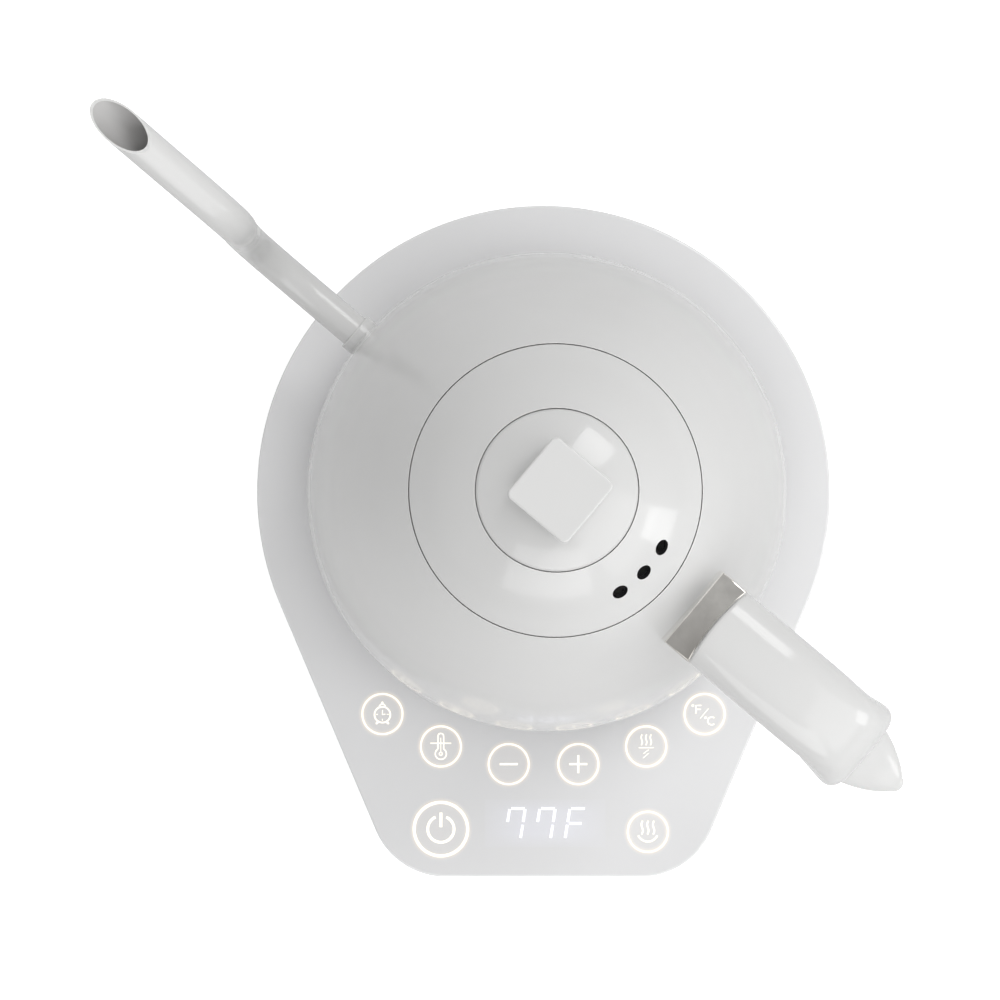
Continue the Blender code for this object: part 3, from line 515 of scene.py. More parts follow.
def loft_faces(sections, count, closed_ends=True):
    """Faces that join rows of points, with the first and last rows capped."""
    faces = []
    for i in range(sections - 1):
        for j in range(count):
            k = (j + 1) % count
            faces.append((i * count + j, i * count + k, (i + 1) * count + k, (i + 1) * count + j))
    if closed_ends:
        faces.append(tuple(range(count)))
        faces.append(tuple(range((sections - 1) * count, sections * count)))
    return faces


def tube_rows(path, radius, steps):
    """Rows of points round a path that lies in the XZ plane."""
    points = []
    for centre, (_, up) in zip(path, section_frames(path)):
        for i in range(steps):
            side, rise = polar(radius, 360.0 * i / steps)
            points.append(centre + Vector((0.0, side, 0.0)) + up * rise)
    return points


def sweep(name, path, radius, steps=24, place=None):
    """A round rod or wire along any line of points, with flat ends."""
    points = []
    for i, centre in enumerate(path):
        along = (path[min(i + 1, len(path) - 1)] - path[max(i - 1, 0)]).normalized()
        side = along.cross(Vector((0.0, 0.0, 1.0))).normalized()
        up = side.cross(along)
        for corner in range(steps):
            across, rise = polar(radius, 360.0 * corner / steps)
            points.append(centre + side * across + up * rise)
    return make_mesh(name, points, loft_faces(len(path), steps), place)


def prism(name, outline, bottom, top, edge=0.0, place=None):
    """An upright block over a flat outline, with its top and bottom edges rounded."""
    points = [(x, y, z) for z in (bottom, top) for x, y in outline]
    mesh = make_mesh(name, points, loft_faces(2, len(outline)))
    if edge:
        shape = opened(mesh)
        rims = [e for e in shape.edges if abs(e.verts[0].co.z - e.verts[1].co.z) < 1e-9]
        round_edges(shape, rims, edge, 4)
        closed_up(shape, mesh)
    if place is not None:
        mesh.transform(place)
    return mesh


def rounded_square(side, corner):
    """Outline of a square with rounded corners, centred on the axis."""
    reach = side / 2 - corner
    outline = []
    for sx, sy, start in ((1, 1, 0), (-1, 1, 90), (-1, -1, 180), (1, -1, 270)):
        outline += arc((sx * reach, sy * reach), corner, start, start + 90, 8)
    return outline


# Materials


class Nodes:
    """A short way to write a procedural material."""

    def __init__(self, name, color, metallic, roughness):
        self.material = bpy.data.materials.new(name)
        self.material.use_nodes = True
        self.tree = self.material.node_tree
        self.shader = self.tree.nodes["Principled BSDF"]
        self.color = (*color, 1.0)
        self.set("Base Color", self.color)
        self.set("Metallic", metallic)
        self.set("Roughness", roughness)
        self.place = self.add("ShaderNodeTexCoord").outputs["Object"]
        self.normal = None

    def add(self, kind, **settings):
        """Add a node and set its properties."""
        item = self.tree.nodes.new(kind)
        for name, value in settings.items():
            setattr(item, name, value)
        return item

    def link(self, source, target):
        """Join an output to an input."""
        self.tree.links.new(source, target)

    def feed(self, socket, value):
        """Give an input a value, or join another node's output to it."""
        if isinstance(value, bpy.types.NodeSocket):
            self.link(value, socket)
        else:
            socket.default_value = value

    def set(self, name, value):
        """Feed one input of the shader."""
        self.feed(self.shader.inputs[name], value)

    def math(self, operation, first, second=0.0):
        """One arithmetic step."""
        item = self.add("ShaderNodeMath", operation=operation)
        self.feed(item.inputs[0], first)
        self.feed(item.inputs[1], second)
        return item.outputs[0]

    def noise(self, size, detail=3.0, stretch=(1.0, 1.0, 1.0)):
        """Noise whose features are about this many millimetres across."""
        mapping = self.add("ShaderNodeMapping")
        mapping.inputs["Scale"].default_value = stretch
        self.link(self.place, mapping.inputs["Vector"])
        item = self.add("ShaderNodeTexNoise")
        item.inputs["Scale"].default_value = 1.0 / (size * MM)
        item.inputs["Detail"].default_value = detail
        self.link(mapping.outputs["Vector"], item.inputs["Vector"])
        return item.outputs["Fac"]

    def spread(self, value, start, end, first=0.0, last=1.0):
        """Map a value from one range to another, held inside it."""
        item = self.add("ShaderNodeMapRange")
        for name, number in (("From Min", start), ("From Max", end), ("To Min", first), ("To Max", last)):
            item.inputs[name].default_value = number
        self.link(value, item.inputs["Value"])
        return item.outputs["Result"]

    def tint(self, share, first, second):
        """Blend two colours by a share."""
        item = self.add("ShaderNodeMix", data_type="RGBA")
        self.link(share, item.inputs["Factor"])
        self.feed(item.inputs[6], first)
        self.feed(item.inputs[7], second)
        return item.outputs[2]

    def bump(self, height, depth):
        """Add a relief this many millimetres deep."""
        item = self.add("ShaderNodeBump")
        item.inputs["Distance"].default_value = depth * MM
        self.link(height, item.inputs["Height"])
        if self.normal is not None:
            self.link(self.normal, item.inputs["Normal"])
        self.normal = item.outputs["Normal"]
        self.set("Normal", self.normal)

    def edges(self, radius):
        """1 along worn edges and 0 on the open surface."""
        bevel = self.add("ShaderNodeBevel", samples=4)
        bevel.inputs["Radius"].default_value = radius * MM
        geometry = self.add("ShaderNodeNewGeometry")
        dot = self.add("ShaderNodeVectorMath", operation="DOT_PRODUCT")
        self.link(bevel.outputs["Normal"], dot.inputs[0])
        self.link(geometry.outputs["Normal"], dot.inputs[1])
        return self.spread(dot.outputs["Value"], 0.995, 0.88)

    def vary(self, size, amount, rough_low, rough_high):
        """Slow colour and gloss variation over the surface."""
        cloud = self.noise(size)
        share = self.spread(cloud, 0.35, 0.65)
        darker = tuple(value * (1.0 - amount) for value in self.color[:3]) + (1.0,)
        self.base = self.tint(share, darker, self.color)
        self.set("Base Color", self.base)
        smudge = self.noise(size * 0.4, 5.0)
        self.set("Roughness", self.spread(smudge, 0.35, 0.7, rough_low, rough_high))

    def wear(self, radius, color, amount):
        """Edges that have rubbed to another shade."""
        grain = self.spread(self.noise(0.8, 6.0), 0.42, 0.6)
        share = self.math("MULTIPLY", self.math("MULTIPLY", self.edges(radius), grain), amount)
        self.set("Base Color", self.tint(share, self.base, (*color, 1.0)))


def lacquer(name, color, peel):
    """Glossy white lacquer with a faint orange peel and slightly rubbed edges."""
    nodes = Nodes(name, color, 0.0, 0.1)
    nodes.vary(45.0, 0.018, 0.10, 0.19)
    nodes.wear(0.5, (0.92, 0.91, 0.88), 0.5)
    nodes.bump(nodes.noise(2.2, 2.0), peel)
    nodes.set("Coat Weight", 0.2)
    nodes.set("Coat Roughness", 0.05)
    nodes.set("Specular IOR Level", 0.32)
    return nodes.material


def plastic(name, color, rough_low, rough_high, grain, depth, worn):
    """Moulded plastic with a spark-eroded grain."""
    nodes = Nodes(name, color, 0.0, rough_high)
    nodes.vary(20.0, 0.08, rough_low, rough_high)
    nodes.wear(0.4, worn, 0.6)
    nodes.bump(nodes.noise(grain, 4.0), depth)
    return nodes.material


def metal(name, color, rough_low, rough_high, stretch, grain, depth):
    """Metal whose fine scratches run across the stretched direction."""
    nodes = Nodes(name, color, 1.0, rough_high)
    nodes.vary(14.0, 0.05, rough_low, rough_high)
    nodes.wear(0.3, tuple(min(1.0, value * 1.25) for value in color), 0.7)
    nodes.bump(nodes.noise(grain, 5.0, stretch), depth)
    return nodes.material


def chrome():
    """Polished chrome with hairline scratches, and a painted reflection that makes it greyer towards one
    side.
    """
    nodes = Nodes("chrome", (1.0, 0.975, 0.93), 1.0, 0.1)
    nodes.vary(7.0, 0.18, 0.08, 0.2)
    # Painted reflection: the colour darkens across the bracket towards one side, broken up by a slow cloud
    across = nodes.add("ShaderNodeVectorMath", operation="DOT_PRODUCT")
    nodes.link(nodes.place, across.inputs[0])
    across.inputs[1].default_value = (*polar(1.0, HANDLE_TURN + 90.0), 0.0)
    reach = BRACKET_WIDTH / 2 * MM
    cloud = nodes.spread(nodes.noise(9.0, 2.0, (1.0, 0.4, 1.0)), 0.35, 0.65, -0.4, 0.4)
    side = nodes.math("ADD", nodes.math("DIVIDE", across.outputs["Value"], reach), cloud)
    nodes.base = nodes.tint(nodes.spread(side, -1.3, 0.2), (0.56, 0.54, 0.505, 1.0), nodes.base)
    nodes.wear(0.4, (0.97, 0.95, 0.90), 0.6)
    nodes.bump(nodes.noise(0.25, 3.0, (1.0, 1.0, 0.05)), 0.0012)
    return nodes.material


def circuit_board():
    """Green solder mask with raised tracks."""
    nodes = Nodes("circuit_board", (0.02, 0.16, 0.06), 0.0, 0.4)
    nodes.vary(6.0, 0.3, 0.3, 0.45)
    tracks = nodes.add("ShaderNodeTexBrick")
    tracks.inputs["Scale"].default_value = 160.0
    tracks.inputs["Mortar Size"].default_value = 0.035
    nodes.link(nodes.place, tracks.inputs["Vector"])
    nodes.set("Base Color", nodes.tint(tracks.outputs["Fac"], nodes.base, (0.10, 0.34, 0.12, 1.0)))
    nodes.bump(tracks.outputs["Fac"], 0.05)
    return nodes.material


def light_guide():
    """Milky plastic that glows faintly from the lamp behind it."""
    nodes = Nodes("light_guide", (0.92, 0.90, 0.82), 0.0, 0.3)
    nodes.vary(3.0, 0.06, 0.25, 0.4)
    nodes.bump(nodes.noise(0.6), 0.01)
    nodes.set("Emission Color", (1.0, 0.93, 0.80, 1.0))
    nodes.set("Emission Strength", 0.5)
    return nodes.material


def lit_line(name, color, strength):
    """Lit marking with a slight mottle."""
    nodes = Nodes(name, (0.55, 0.53, 0.50), 0.0, 0.35)
    mottle = nodes.spread(nodes.noise(1.2), 0.3, 0.7, strength * 0.93, strength)
    nodes.bump(nodes.noise(0.4), 0.002)
    nodes.set("Emission Color", (*color, 1.0))
    nodes.set("Emission Strength", mottle)
    return nodes.material


def key_rings():
    """Name, centre and outer radius of each lit ring, from the touch keys in the frame."""
    rings = []
    for node in sorted(frame["nodes"]):
        if node.startswith("touch_key_"):
            centre = middle(node)
            radius = (high(node).x - low(node).x) / 2
            rings.append((node.removeprefix("touch_key_"), centre.xy, radius))
    return rings


def glow_round(nodes, centre, radius, reach):
    """Soft light close to a lit ring, and a weaker one inside it."""
    spot = nodes.add("ShaderNodeVectorMath", operation="DISTANCE")
    nodes.link(nodes.place, spot.inputs[0])
    spot.inputs[1].default_value = (centre.x * MM, centre.y * MM, BASE_TOP * MM)
    distance = nodes.math("DIVIDE", spot.outputs["Value"], MM)
    away = nodes.math("ABSOLUTE", nodes.math("SUBTRACT", distance, radius))
    near = nodes.spread(away, 0.3, reach, 1.0, 0.0)
    inside = nodes.spread(distance, radius - 1.0, radius + reach, 0.16, 0.0)
    return nodes.math("ADD", nodes.math("MULTIPLY", near, near), inside)


def glow_window(nodes):
    """Soft light round the digits, and a faint even one over the display window."""
    centre, half = middle("display_module"), (high("display_module") - low("display_module")) / 2
    axes = nodes.add("ShaderNodeSeparateXYZ")
    nodes.link(nodes.place, axes.inputs[0])
    window, light = None, None
    for axis, start, reach in (("X", centre.x, half.x), ("Y", centre.y, half.y)):
        distance = nodes.math("SUBTRACT", nodes.math("DIVIDE", axes.outputs[axis], MM), start)
        away = nodes.math("ABSOLUTE", distance)
        edge = nodes.spread(away, reach, reach + 0.3, 1.0, 0.0)
        soft = nodes.spread(away, reach * 0.45, reach * 1.05, 1.0, 0.0)
        window = edge if window is None else nodes.math("MULTIPLY", window, edge)
        light = soft if light is None else nodes.math("MULTIPLY", light, soft)
    return window, light


def panel():
    """Glossy white panel lit from below round its rings and digits."""
    nodes = Nodes("white_panel", PANEL_COLOR, 0.0, 0.08)
    nodes.vary(60.0, 0.015, 0.07, 0.13)
    nodes.wear(0.5, (0.93, 0.93, 0.91), 0.45)
    nodes.bump(nodes.noise(5.0, 1.0), 0.0025)
    nodes.set("Coat Weight", 0.4)
    nodes.set("Coat Roughness", 0.02)
    warm = None
    for _, centre, radius in key_rings():
        glow = glow_round(nodes, centre, radius - RING_LINE / 2, 1.5)
        warm = glow if warm is None else nodes.math("ADD", warm, glow)
    window, light = glow_window(nodes)
    cold = nodes.math("ADD", nodes.math("MULTIPLY", window, 0.07), nodes.math("MULTIPLY", light, 0.4))
    total = nodes.math("ADD", warm, cold)
    share = nodes.math("DIVIDE", cold, nodes.math("ADD", total, 1e-4))
    nodes.set("Emission Color", nodes.tint(share, WARM_GLOW, COLD_GLOW))
    nodes.set("Emission Strength", nodes.math("MULTIPLY", total, PANEL_GLOW))
    return nodes.material


def floor_material():
    """Pale matt studio floor."""
    nodes = Nodes("studio_floor", (0.93, 0.93, 0.93), 0.0, 0.9)
    nodes.vary(300.0, 0.01, 0.85, 0.95)
    nodes.bump(nodes.noise(3.0, 4.0), 0.02)
    nodes.set("Specular IOR Level", 0.0)
    below = nodes.add("ShaderNodeNewGeometry").outputs["Backfacing"]
    nodes.set("Alpha", nodes.spread(below, 0.0, 1.0, 1.0, 0.0))
    rays = nodes.add("ShaderNodeLightPath").outputs
    dim = (FLOOR_BOUNCE, FLOOR_BOUNCE, FLOOR_BOUNCE, 1.0)
    nodes.set("Base Color", nodes.tint(rays["Is Camera Ray"], dim, nodes.base))
    nodes.set("Emission Color", (1.0, 1.0, 1.0, 1.0))
    nodes.set("Emission Strength", nodes.math("MULTIPLY", rays["Is Camera Ray"], FLOOR_GLOW))
    return nodes.material


MATERIALS = {
    "white_lacquer": lacquer("white_lacquer", LACQUER_COLOR, 0.004),
    "white_panel": panel(),
    "white_plastic": plastic("white_plastic", (0.70, 0.70, 0.69), 0.3, 0.42, 0.5, 0.01, (0.8, 0.8, 0.78)),
    "grey_plastic": plastic("grey_plastic", (0.23, 0.23, 0.24), 0.42, 0.6, 0.35, 0.03, (0.38, 0.38, 0.39)),
    "chrome": chrome(),
    "brushed_steel": metal("brushed_steel", (0.62, 0.61, 0.60), 0.26, 0.36, (0.04, 0.04, 1.0), 0.3, 0.002),
    "aluminium": metal("aluminium", (0.70, 0.71, 0.72), 0.34, 0.5, (1.0, 1.0, 1.0), 0.7, 0.02),
    "brass": metal("brass", (0.72, 0.52, 0.22), 0.18, 0.32, (0.08, 1.0, 1.0), 0.3, 0.004),
    "rubber": plastic("rubber", (0.035, 0.035, 0.036), 0.7, 0.9, 0.5, 0.03, (0.09, 0.09, 0.09)),
    "silicone": plastic("silicone", (0.50, 0.51, 0.52), 0.5, 0.65, 0.8, 0.015, (0.6, 0.61, 0.62)),
    "cord_white": plastic("cord_white", (0.66, 0.66, 0.64), 0.48, 0.62, 0.9, 0.02, (0.75, 0.75, 0.72)),
    "spout_bore": plastic("spout_bore", (0.46, 0.455, 0.45), 0.4, 0.55, 0.4, 0.01, (0.5, 0.5, 0.49)),
    "circuit_board": circuit_board(),
    "black_plastic": plastic("black_plastic", (0.02, 0.02, 0.021), 0.35, 0.5, 0.4, 0.02, (0.07, 0.07, 0.07)),
    "light_guide": light_guide(),
}
WARM_LIGHT = lit_line("warm_light", (1.0, 0.95, 0.82), LINE_LIGHT)
COLD_LIGHT = lit_line("cold_light", (0.84, 0.87, 1.0), LINE_LIGHT)


# Kettle body


def body_height(radius):
    """Height of the body's outer surface at this radius, above its widest level."""
    return BODY_WIDEST + BODY_RISE * math.sqrt(1.0 - (radius / BODY_RADIUS) ** 2)


def body_normal(radius):
    """Direction straight out of the body's surface at this radius, as (outwards, upwards)."""
    sine = radius / BODY_RADIUS
    return Vector((sine / BODY_RADIUS, math.sqrt(1.0 - sine * sine) / BODY_RISE)).normalized()


def dress_inside(mesh):
    """Give the inner faces of the body shell its second material."""
    for face in mesh.polygons:
        outwards = Vector((face.center.x, face.center.y, 0.0))
        radius = outwards.length / MM
        depth = body_height(min(radius, BODY_RADIUS)) - face.center.z / MM
        if face.normal.dot(outwards) < 0 and depth > INNER_DEPTH:
            face.material_index = 1


def build_body():
    """Body shell with lacquer outside and bare steel inside."""
    mesh = turned_again("vessel_shell", 0.25, angle=SECTION_ANGLE)
    dress_inside(mesh)
    stand_in("vessel_shell", mesh, [MATERIALS["white_lacquer"], MATERIALS["brushed_steel"]])


def paint_vent_shade(mesh, place):
    """Paint the walls of the steam vents black, as painted shade inside the holes."""
    slope = body_normal(VENT_CIRCLE)
    for angle in VENT_ANGLES:
        side = place @ Vector((*polar(1.0, angle), 0.0))
        start = (side * VENT_CIRCLE + Vector((0.0, 0.0, body_height(VENT_CIRCLE)))) * MM
        along = side * slope.x + Vector((0.0, 0.0, slope.y))
        for face in mesh.polygons:
            offset = face.center - start
            across = (offset - along * offset.dot(along)).length
            if across < (VENT_RADIUS + 0.05) * MM and abs(face.normal.dot(along)) < 0.3:
                face.material_index = 1


def build_lid():
    """Lid dome with three steam vents, its cap and its square knob."""
    place = kettle_turn()
    dome = turned_again("lid_dome", SEAM_FILLET, angle=SECTION_ANGLE, grow=DOME_GROWTH)
    slope = body_normal(VENT_CIRCLE)
    start = Vector((VENT_CIRCLE, body_height(VENT_CIRCLE)))
    for angle in VENT_ANGLES:
        ends = [start + slope * reach for reach in (-CUT_MARGIN, CUT_MARGIN)]
        path = [Vector((*polar(end.x, angle), end.y)) for end in ends]
        dome = cut_mesh(dome, sweep("vent", path, VENT_RADIUS, VENT_STEPS, place))
    # The vent walls take the second material, black plastic, as painted shade inside the holes
    paint_vent_shade(dome, place)
    stand_in("lid_dome", dome, [MATERIALS["white_lacquer"], MATERIALS["black_plastic"]])
    stand_in("lid_cap", turned_again("lid_cap", SEAM_FILLET, angle=SECTION_ANGLE, grow=CAP_GROWTH))

    outline = rounded_square(KNOB_SIDE, KNOB_CORNER)
    bottom, top = low("lid_knob").z, high("lid_knob").z
    stand_in("lid_knob", prism("lid_knob_piece", outline, bottom, top, 0.5, place))


def spout_path():
    """Centre line of the spout in the kettle's frame."""
    return curve_through([Vector((-x, 0.0, BASE_TOP + z)) for x, z in SPOUT_LINE], 8)


def build_spout():
    """Gooseneck tube cut level at its mouth, with a real bore and a rounded rim."""
    path = spout_path()
    along = (path[-1] - path[-2]).normalized()
    path += [path[-1] + along * step for step in range(1, SPOUT_OVERRUN + 1)]
    outer = tube_rows(path, SPOUT_RADIUS, SPOUT_STEPS)
    inner = tube_rows(path, SPOUT_RADIUS - SPOUT_WALL, SPOUT_STEPS)
    offset = len(outer)
    faces = loft_faces(len(path), SPOUT_STEPS, closed_ends=False)
    faces += [tuple(offset + corner for corner in face[::-1]) for face in faces]
    for i in range(SPOUT_STEPS):
        k = (i + 1) % SPOUT_STEPS
        faces.append((i, k, offset + k, offset + i))
    mesh = bpy.data.meshes.new("spout_tube_piece")
    mesh.from_pydata([point * MM for point in outer + inner], [], faces)
    shape = opened(mesh)
    level = high("spout_tube").z * MM
    split(shape, 1e-7, (0.0, 0.0, level), (0.0, 0.0, 1.0), clear_outer=True)
    rims = [edge for edge in shape.edges if edge.is_boundary]
    bmesh.ops.bridge_loops(shape, edges=rims)
    bmesh.ops.recalc_face_normals(shape, faces=shape.faces)
    rims = [edge for edge in rims if edge.is_valid]
    round_edges(shape, rims, SPOUT_RIM, 3)
    closed_up(shape, mesh)
    centres = [point * MM for point in path]
    for face in mesh.polygons:
        nearest = min(centres, key=lambda centre: (centre - face.center).length)
        flat = abs(face.center.z - level) < 0.02 * MM
        face.material_index = int(face.normal.dot(face.center - nearest) < 0 and not flat)
    mesh.transform(kettle_turn())
    stand_in("spout_tube", mesh, [MATERIALS["white_lacquer"], MATERIALS["spout_bore"]])


def build_collar():
    """Ring where the spout meets the body."""
    first, second = [Vector((-x, 0.0, BASE_TOP + z)) for x, z in SPOUT_LINE[:2]]
    along = (second - first).normalized()
    root = first + along * ((COLLAR_START - SPOUT_LINE[0][0]) / -along.x)
    inner = SPOUT_RADIUS + 0.15
    outline = [(inner, 0.0), (COLLAR_RADIUS, 0.0), (COLLAR_RADIUS, COLLAR_LENGTH), (inner, COLLAR_LENGTH)]
    outline = rounded_outline([Vector(point) for point in outline], True, 0.55)
    turn = Vector((0.0, 0.0, 1.0)).rotation_difference(along).to_matrix().to_4x4()
    place = kettle_turn() @ Matrix.Translation(root * MM) @ turn
    stand_in("spout_collar", lathe("spout_collar_piece", outline, True, 64, place))


def grip_rows():
    """Rounded cross sections along the grip, from its front edge to its tail."""
    stations = curve_through([Vector(station) for station in GRIP_STATIONS])
    middles = [Vector((station[0], 0.0, BASE_TOP + station[1])) for station in stations]
    rows = []
    for i, (centre, (_, up)) in enumerate(zip(middles, section_frames(middles))):
        outer, inner, half_thickness, squareness = stations[i][2:]
        row = []
        for corner in range(GRIP_CORNERS):
            turn = 2.0 * math.pi * (corner + 0.5) / GRIP_CORNERS
            side = math.copysign(abs(math.cos(turn)) ** squareness, math.cos(turn))
            rise = math.copysign(abs(math.sin(turn)) ** squareness, math.sin(turn))
            half_width = inner + (outer - inner) * (1.0 + rise) / 2
            place = centre + Vector((0.0, side * half_width, 0.0)) + up * rise * half_thickness
            if i < CURVE_STEPS:
                place.x -= FRONT_BOW * (1.0 - side * side) * (1.0 - i / CURVE_STEPS)
            row.append(place)
        rows.append(row)
    return rows


def build_grip():
    """Lacquered grip with a rounded front rim and a rounded tail."""
    rows = grip_rows()
    front_middle = sum(rows[0], Vector()) / GRIP_CORNERS
    rim = []
    for share, forward in GRIP_RIM:
        ahead = front_middle - Vector((forward, 0, 0))
        rim.append([ahead + (p - front_middle) * share for p in rows[0]])
    tail_middle = sum(rows[-1], Vector()) / GRIP_CORNERS
    along = (tail_middle - sum(rows[-2], Vector()) / GRIP_CORNERS).normalized()
    tip = []
    for share, onward in GRIP_TIP:
        tip.append([tail_middle + (p - tail_middle) * share + along * onward for p in rows[-1]])
    rows = rim + rows + tip
    points = [point for row in rows for point in row]
    mesh = make_mesh("handle_grip_piece", points, loft_faces(len(rows), GRIP_CORNERS), kettle_turn())
    stand_in("handle_grip", mesh)


def build_bracket():
    """Chrome block between the body and the grip, hollowed to the body's curve."""
    half = BRACKET_WIDTH / 2
    sides = [half * (1.0 - i / BOW_STEPS) for i in range(2 * BOW_STEPS + 1)]
    outline = [(BRACKET_OUTER - FRONT_BOW * (1.0 - (side / half) ** 2), side) for side in sides]
    outline += [(BRACKET_INNER, -half), (BRACKET_INNER, half)]
    bottom, top = low("handle_bracket").z, high("handle_bracket").z
    mesh = prism("handle_bracket_piece", outline[::-1], bottom, top, BRACKET_EDGE)
    curve = []
    for angle in range(8, 68):
        radius = BODY_RADIUS * math.sin(math.radians(angle))
        curve.append(Vector((radius, body_height(radius))) + body_normal(radius) * BRACKET_CLEARANCE)
    outline = [Vector((0.0, curve[0].y)), *curve, Vector((curve[-1].x, 60.0)), Vector((0.0, 60.0))]
    body = lathe("body_cutter", outline, False, TURN_STEPS)
    mesh = cut_mesh(mesh, body)
    mesh.transform(kettle_turn())
    bracket = stand_in("handle_bracket", mesh)
    # Polished metal would pass light on to the body, so it must not darken the paint beside it
    bracket.visible_diffuse = False
    bracket.visible_shadow = False


# Base


def base_outline(inset):
    """The base's outline seen from above, moved inwards by the inset."""
    side = math.radians(BASE_SIDE_ANGLE)
    corner = BASE_CORNER_RADIUS - inset
    corner_y = BASE_CORNER_RADIUS - BASE_FRONT
    reach = BASE_RADIUS - BASE_CORNER_RADIUS
    corner_x = (reach + corner_y * math.sin(side)) / math.cos(side)
    back = arc((0.0, 0.0), BASE_RADIUS - inset, -BASE_SIDE_ANGLE, 180.0 + BASE_SIDE_ANGLE, BASE_ARC_STEPS)
    left = arc((-corner_x, corner_y), corner, 180.0 + BASE_SIDE_ANGLE, 270.0, BASE_CORNER_STEPS)
    right = arc((corner_x, corner_y), corner, 270.0, 360.0 - BASE_SIDE_ANGLE, BASE_CORNER_STEPS)
    return back + left + right


def round_cutter(name, radius, bottom, top, centre=(0.0, 0.0)):
    """A plain round cutter that reaches past both levels."""
    return prism(name, circle(*centre, radius, ROUND_STEPS), bottom - CUT_MARGIN, top + CUT_MARGIN)


def build_base():
    """Glossy panel, and side wall with its deck."""
    bottom = low("base_top_panel").z
    mesh = prism("base_top_panel_piece", base_outline(0.0), bottom, BASE_TOP, 0.8)
    mesh = cut_mesh(mesh, round_cutter("hole", CONNECTOR_HOLE, bottom, BASE_TOP))
    stand_in("base_top_panel", mesh)

    bottom, top = low("base_housing").z, high("base_housing").z
    deck = top - DECK_THICKNESS
    mesh = prism("base_housing_piece", base_outline(BASE_GAP), bottom, top, 0.9)
    mesh = cut_mesh(mesh, prism("inside", base_outline(BASE_WALL), 0.0, deck))
    mesh = cut_mesh(mesh, round_cutter("hole", CONNECTOR_HOLE, deck, top))
    window = [*DISPLAY_WINDOW, *((-x, y) for x, y in DISPLAY_WINDOW[::-1])]
    mesh = cut_mesh(mesh, prism("window", window, deck - CUT_MARGIN, top + CUT_MARGIN))
    stand_in("base_housing", mesh)


# Lit panel


def stroke(line, width, closed):
    """A flat raised line of this width through (x, y) points, as (points, faces)."""
    places = [Vector(point) for point in line]
    count = len(places)
    points = []
    for i, place in enumerate(places):
        before = places[i - 1] if closed or i else place
        after = places[(i + 1) % count] if closed or i < count - 1 else place
        along = (after - before).normalized()
        across = Vector((-along.y, along.x)) * width / 2
        for side, level in ((1, -LINE_HEIGHT), (1, LINE_HEIGHT), (-1, LINE_HEIGHT), (-1, -LINE_HEIGHT)):
            points.append((*(place + across * side), BASE_TOP + level))
    rows = count + 1 if closed else count
    faces = []
    for i in range(rows - 1):
        for j in range(4):
            k = (j + 1) % 4
            a, b = i * 4, ((i + 1) % count) * 4
            faces.append((a + j, a + k, b + k, b + j))
    if not closed:
        faces.append((0, 1, 2, 3))
        faces.append(tuple((count - 1) * 4 + corner for corner in range(4)))
    return points, faces


def lit_piece(name, strokes, centre, material):
    """One piece made of the strokes (line, width, closed), placed round a centre on the panel."""
    points, faces = [], []
    for line, width, closed in strokes:
        line = [(centre[0] + x, centre[1] + y) for x, y in line]
        new_points, new_faces = stroke(line, width, closed)
        faces += [tuple(len(points) + corner for corner in face) for face in new_faces]
        points += new_points
    mesh = make_mesh(name, points, faces)
    add_piece(name, mesh, "base", "light_guide", materials=[material])


def wave(x, y, height, swing):
    """One wisp of steam: a slanted S that rises from y."""
    line = []
    for i in range(WAVE_STEPS + 1):
        t = i / WAVE_STEPS
        line.append((x + swing * math.sin(2.0 * math.pi * t) + 0.25 * t, y + height * t))
    return line


def clock_glyph():
    """Alarm clock: face, hands, ticks, top knob and feet."""
    strokes = [
        (circle(0.0, -0.2, 2.35), 0.6, True),
        ([(0.0, -0.3), (0.0, 1.2)], 0.35, False),
        ([(-0.15, -0.15), (0.9, -0.05)], 0.35, False),
    ]
    for angle in (0.0, 180.0, 270.0):
        tick = [(x, y - 0.1) for x, y in (polar(1.35, angle), polar(1.9, angle))]
        strokes.append((tick, 0.3, False))
    strokes.append((arc((0.0, 2.0), 0.95, 15.0, 165.0, 12), 0.45, False))
    strokes.append((circle(0.0, 3.35, 0.2, 16), 0.4, True))
    for side in (-1, 1):
        strokes.append(([(side * 1.2, -2.3), (side * 1.9, -2.9)], 0.8, False))
    return strokes


def thermometer_glyph():
    """Thermometer with a level line across it."""
    stem, bulb = 0.85, 1.65
    start = math.degrees(math.asin(stem / bulb))
    outline = arc((0.0, -2.2), bulb, 90.0 + start, 450.0 - start, 24)
    outline += arc((0.0, 3.0), stem, 0.0, 180.0, 12)
    return [
        (outline, 0.5, True),
        (circle(0.0, -2.2, 0.45, 20), 0.4, True),
        ([(0.0, -1.7), (0.0, 2.6)], 0.28, False),
        ([(-3.1, 0.95), (3.1, 0.95)], 0.45, False),
    ]


def boil_glyph():
    """Steam over a line over a bolt."""
    return [
        *((wave(x, 0.35, 3.2, 0.22), 0.5, False) for x in (-1.45, -0.1, 1.25)),
        ([(-2.2, -0.4), (2.2, -0.4)], 0.35, False),
        ([(0.75, -1.0), (-0.85, -2.15), (0.75, -2.05), (-0.9, -3.45)], 0.35, False),
    ]


def unit_glyph():
    """Degrees Fahrenheit over degrees Celsius, parted by a slash."""
    return [
        ([(-2.55, 0.1), (-2.55, 2.55), (-0.95, 2.55)], 0.5, False),
        ([(-2.55, 1.4), (-1.15, 1.4)], 0.45, False),
        (circle(-3.5, 2.5, 0.3, 16), 0.25, True),
        ([(-1.3, -1.3), (1.15, 1.6)], 0.3, False),
        (arc((2.1, -2.05), 1.15, 48.0, 312.0, 24), 0.5, False),
        (circle(0.3, -1.1, 0.3, 16), 0.25, True),
    ]


def warm_glyph():
    """Steam over a dish."""
    return [
        *((wave(x, -0.75, 4.0, 0.28), 0.62, False) for x in (-1.8, -0.1, 1.6)),
        (arc((0.0, 0.2), 3.1, 205.0, 335.0, 28), 0.7, False),
    ]


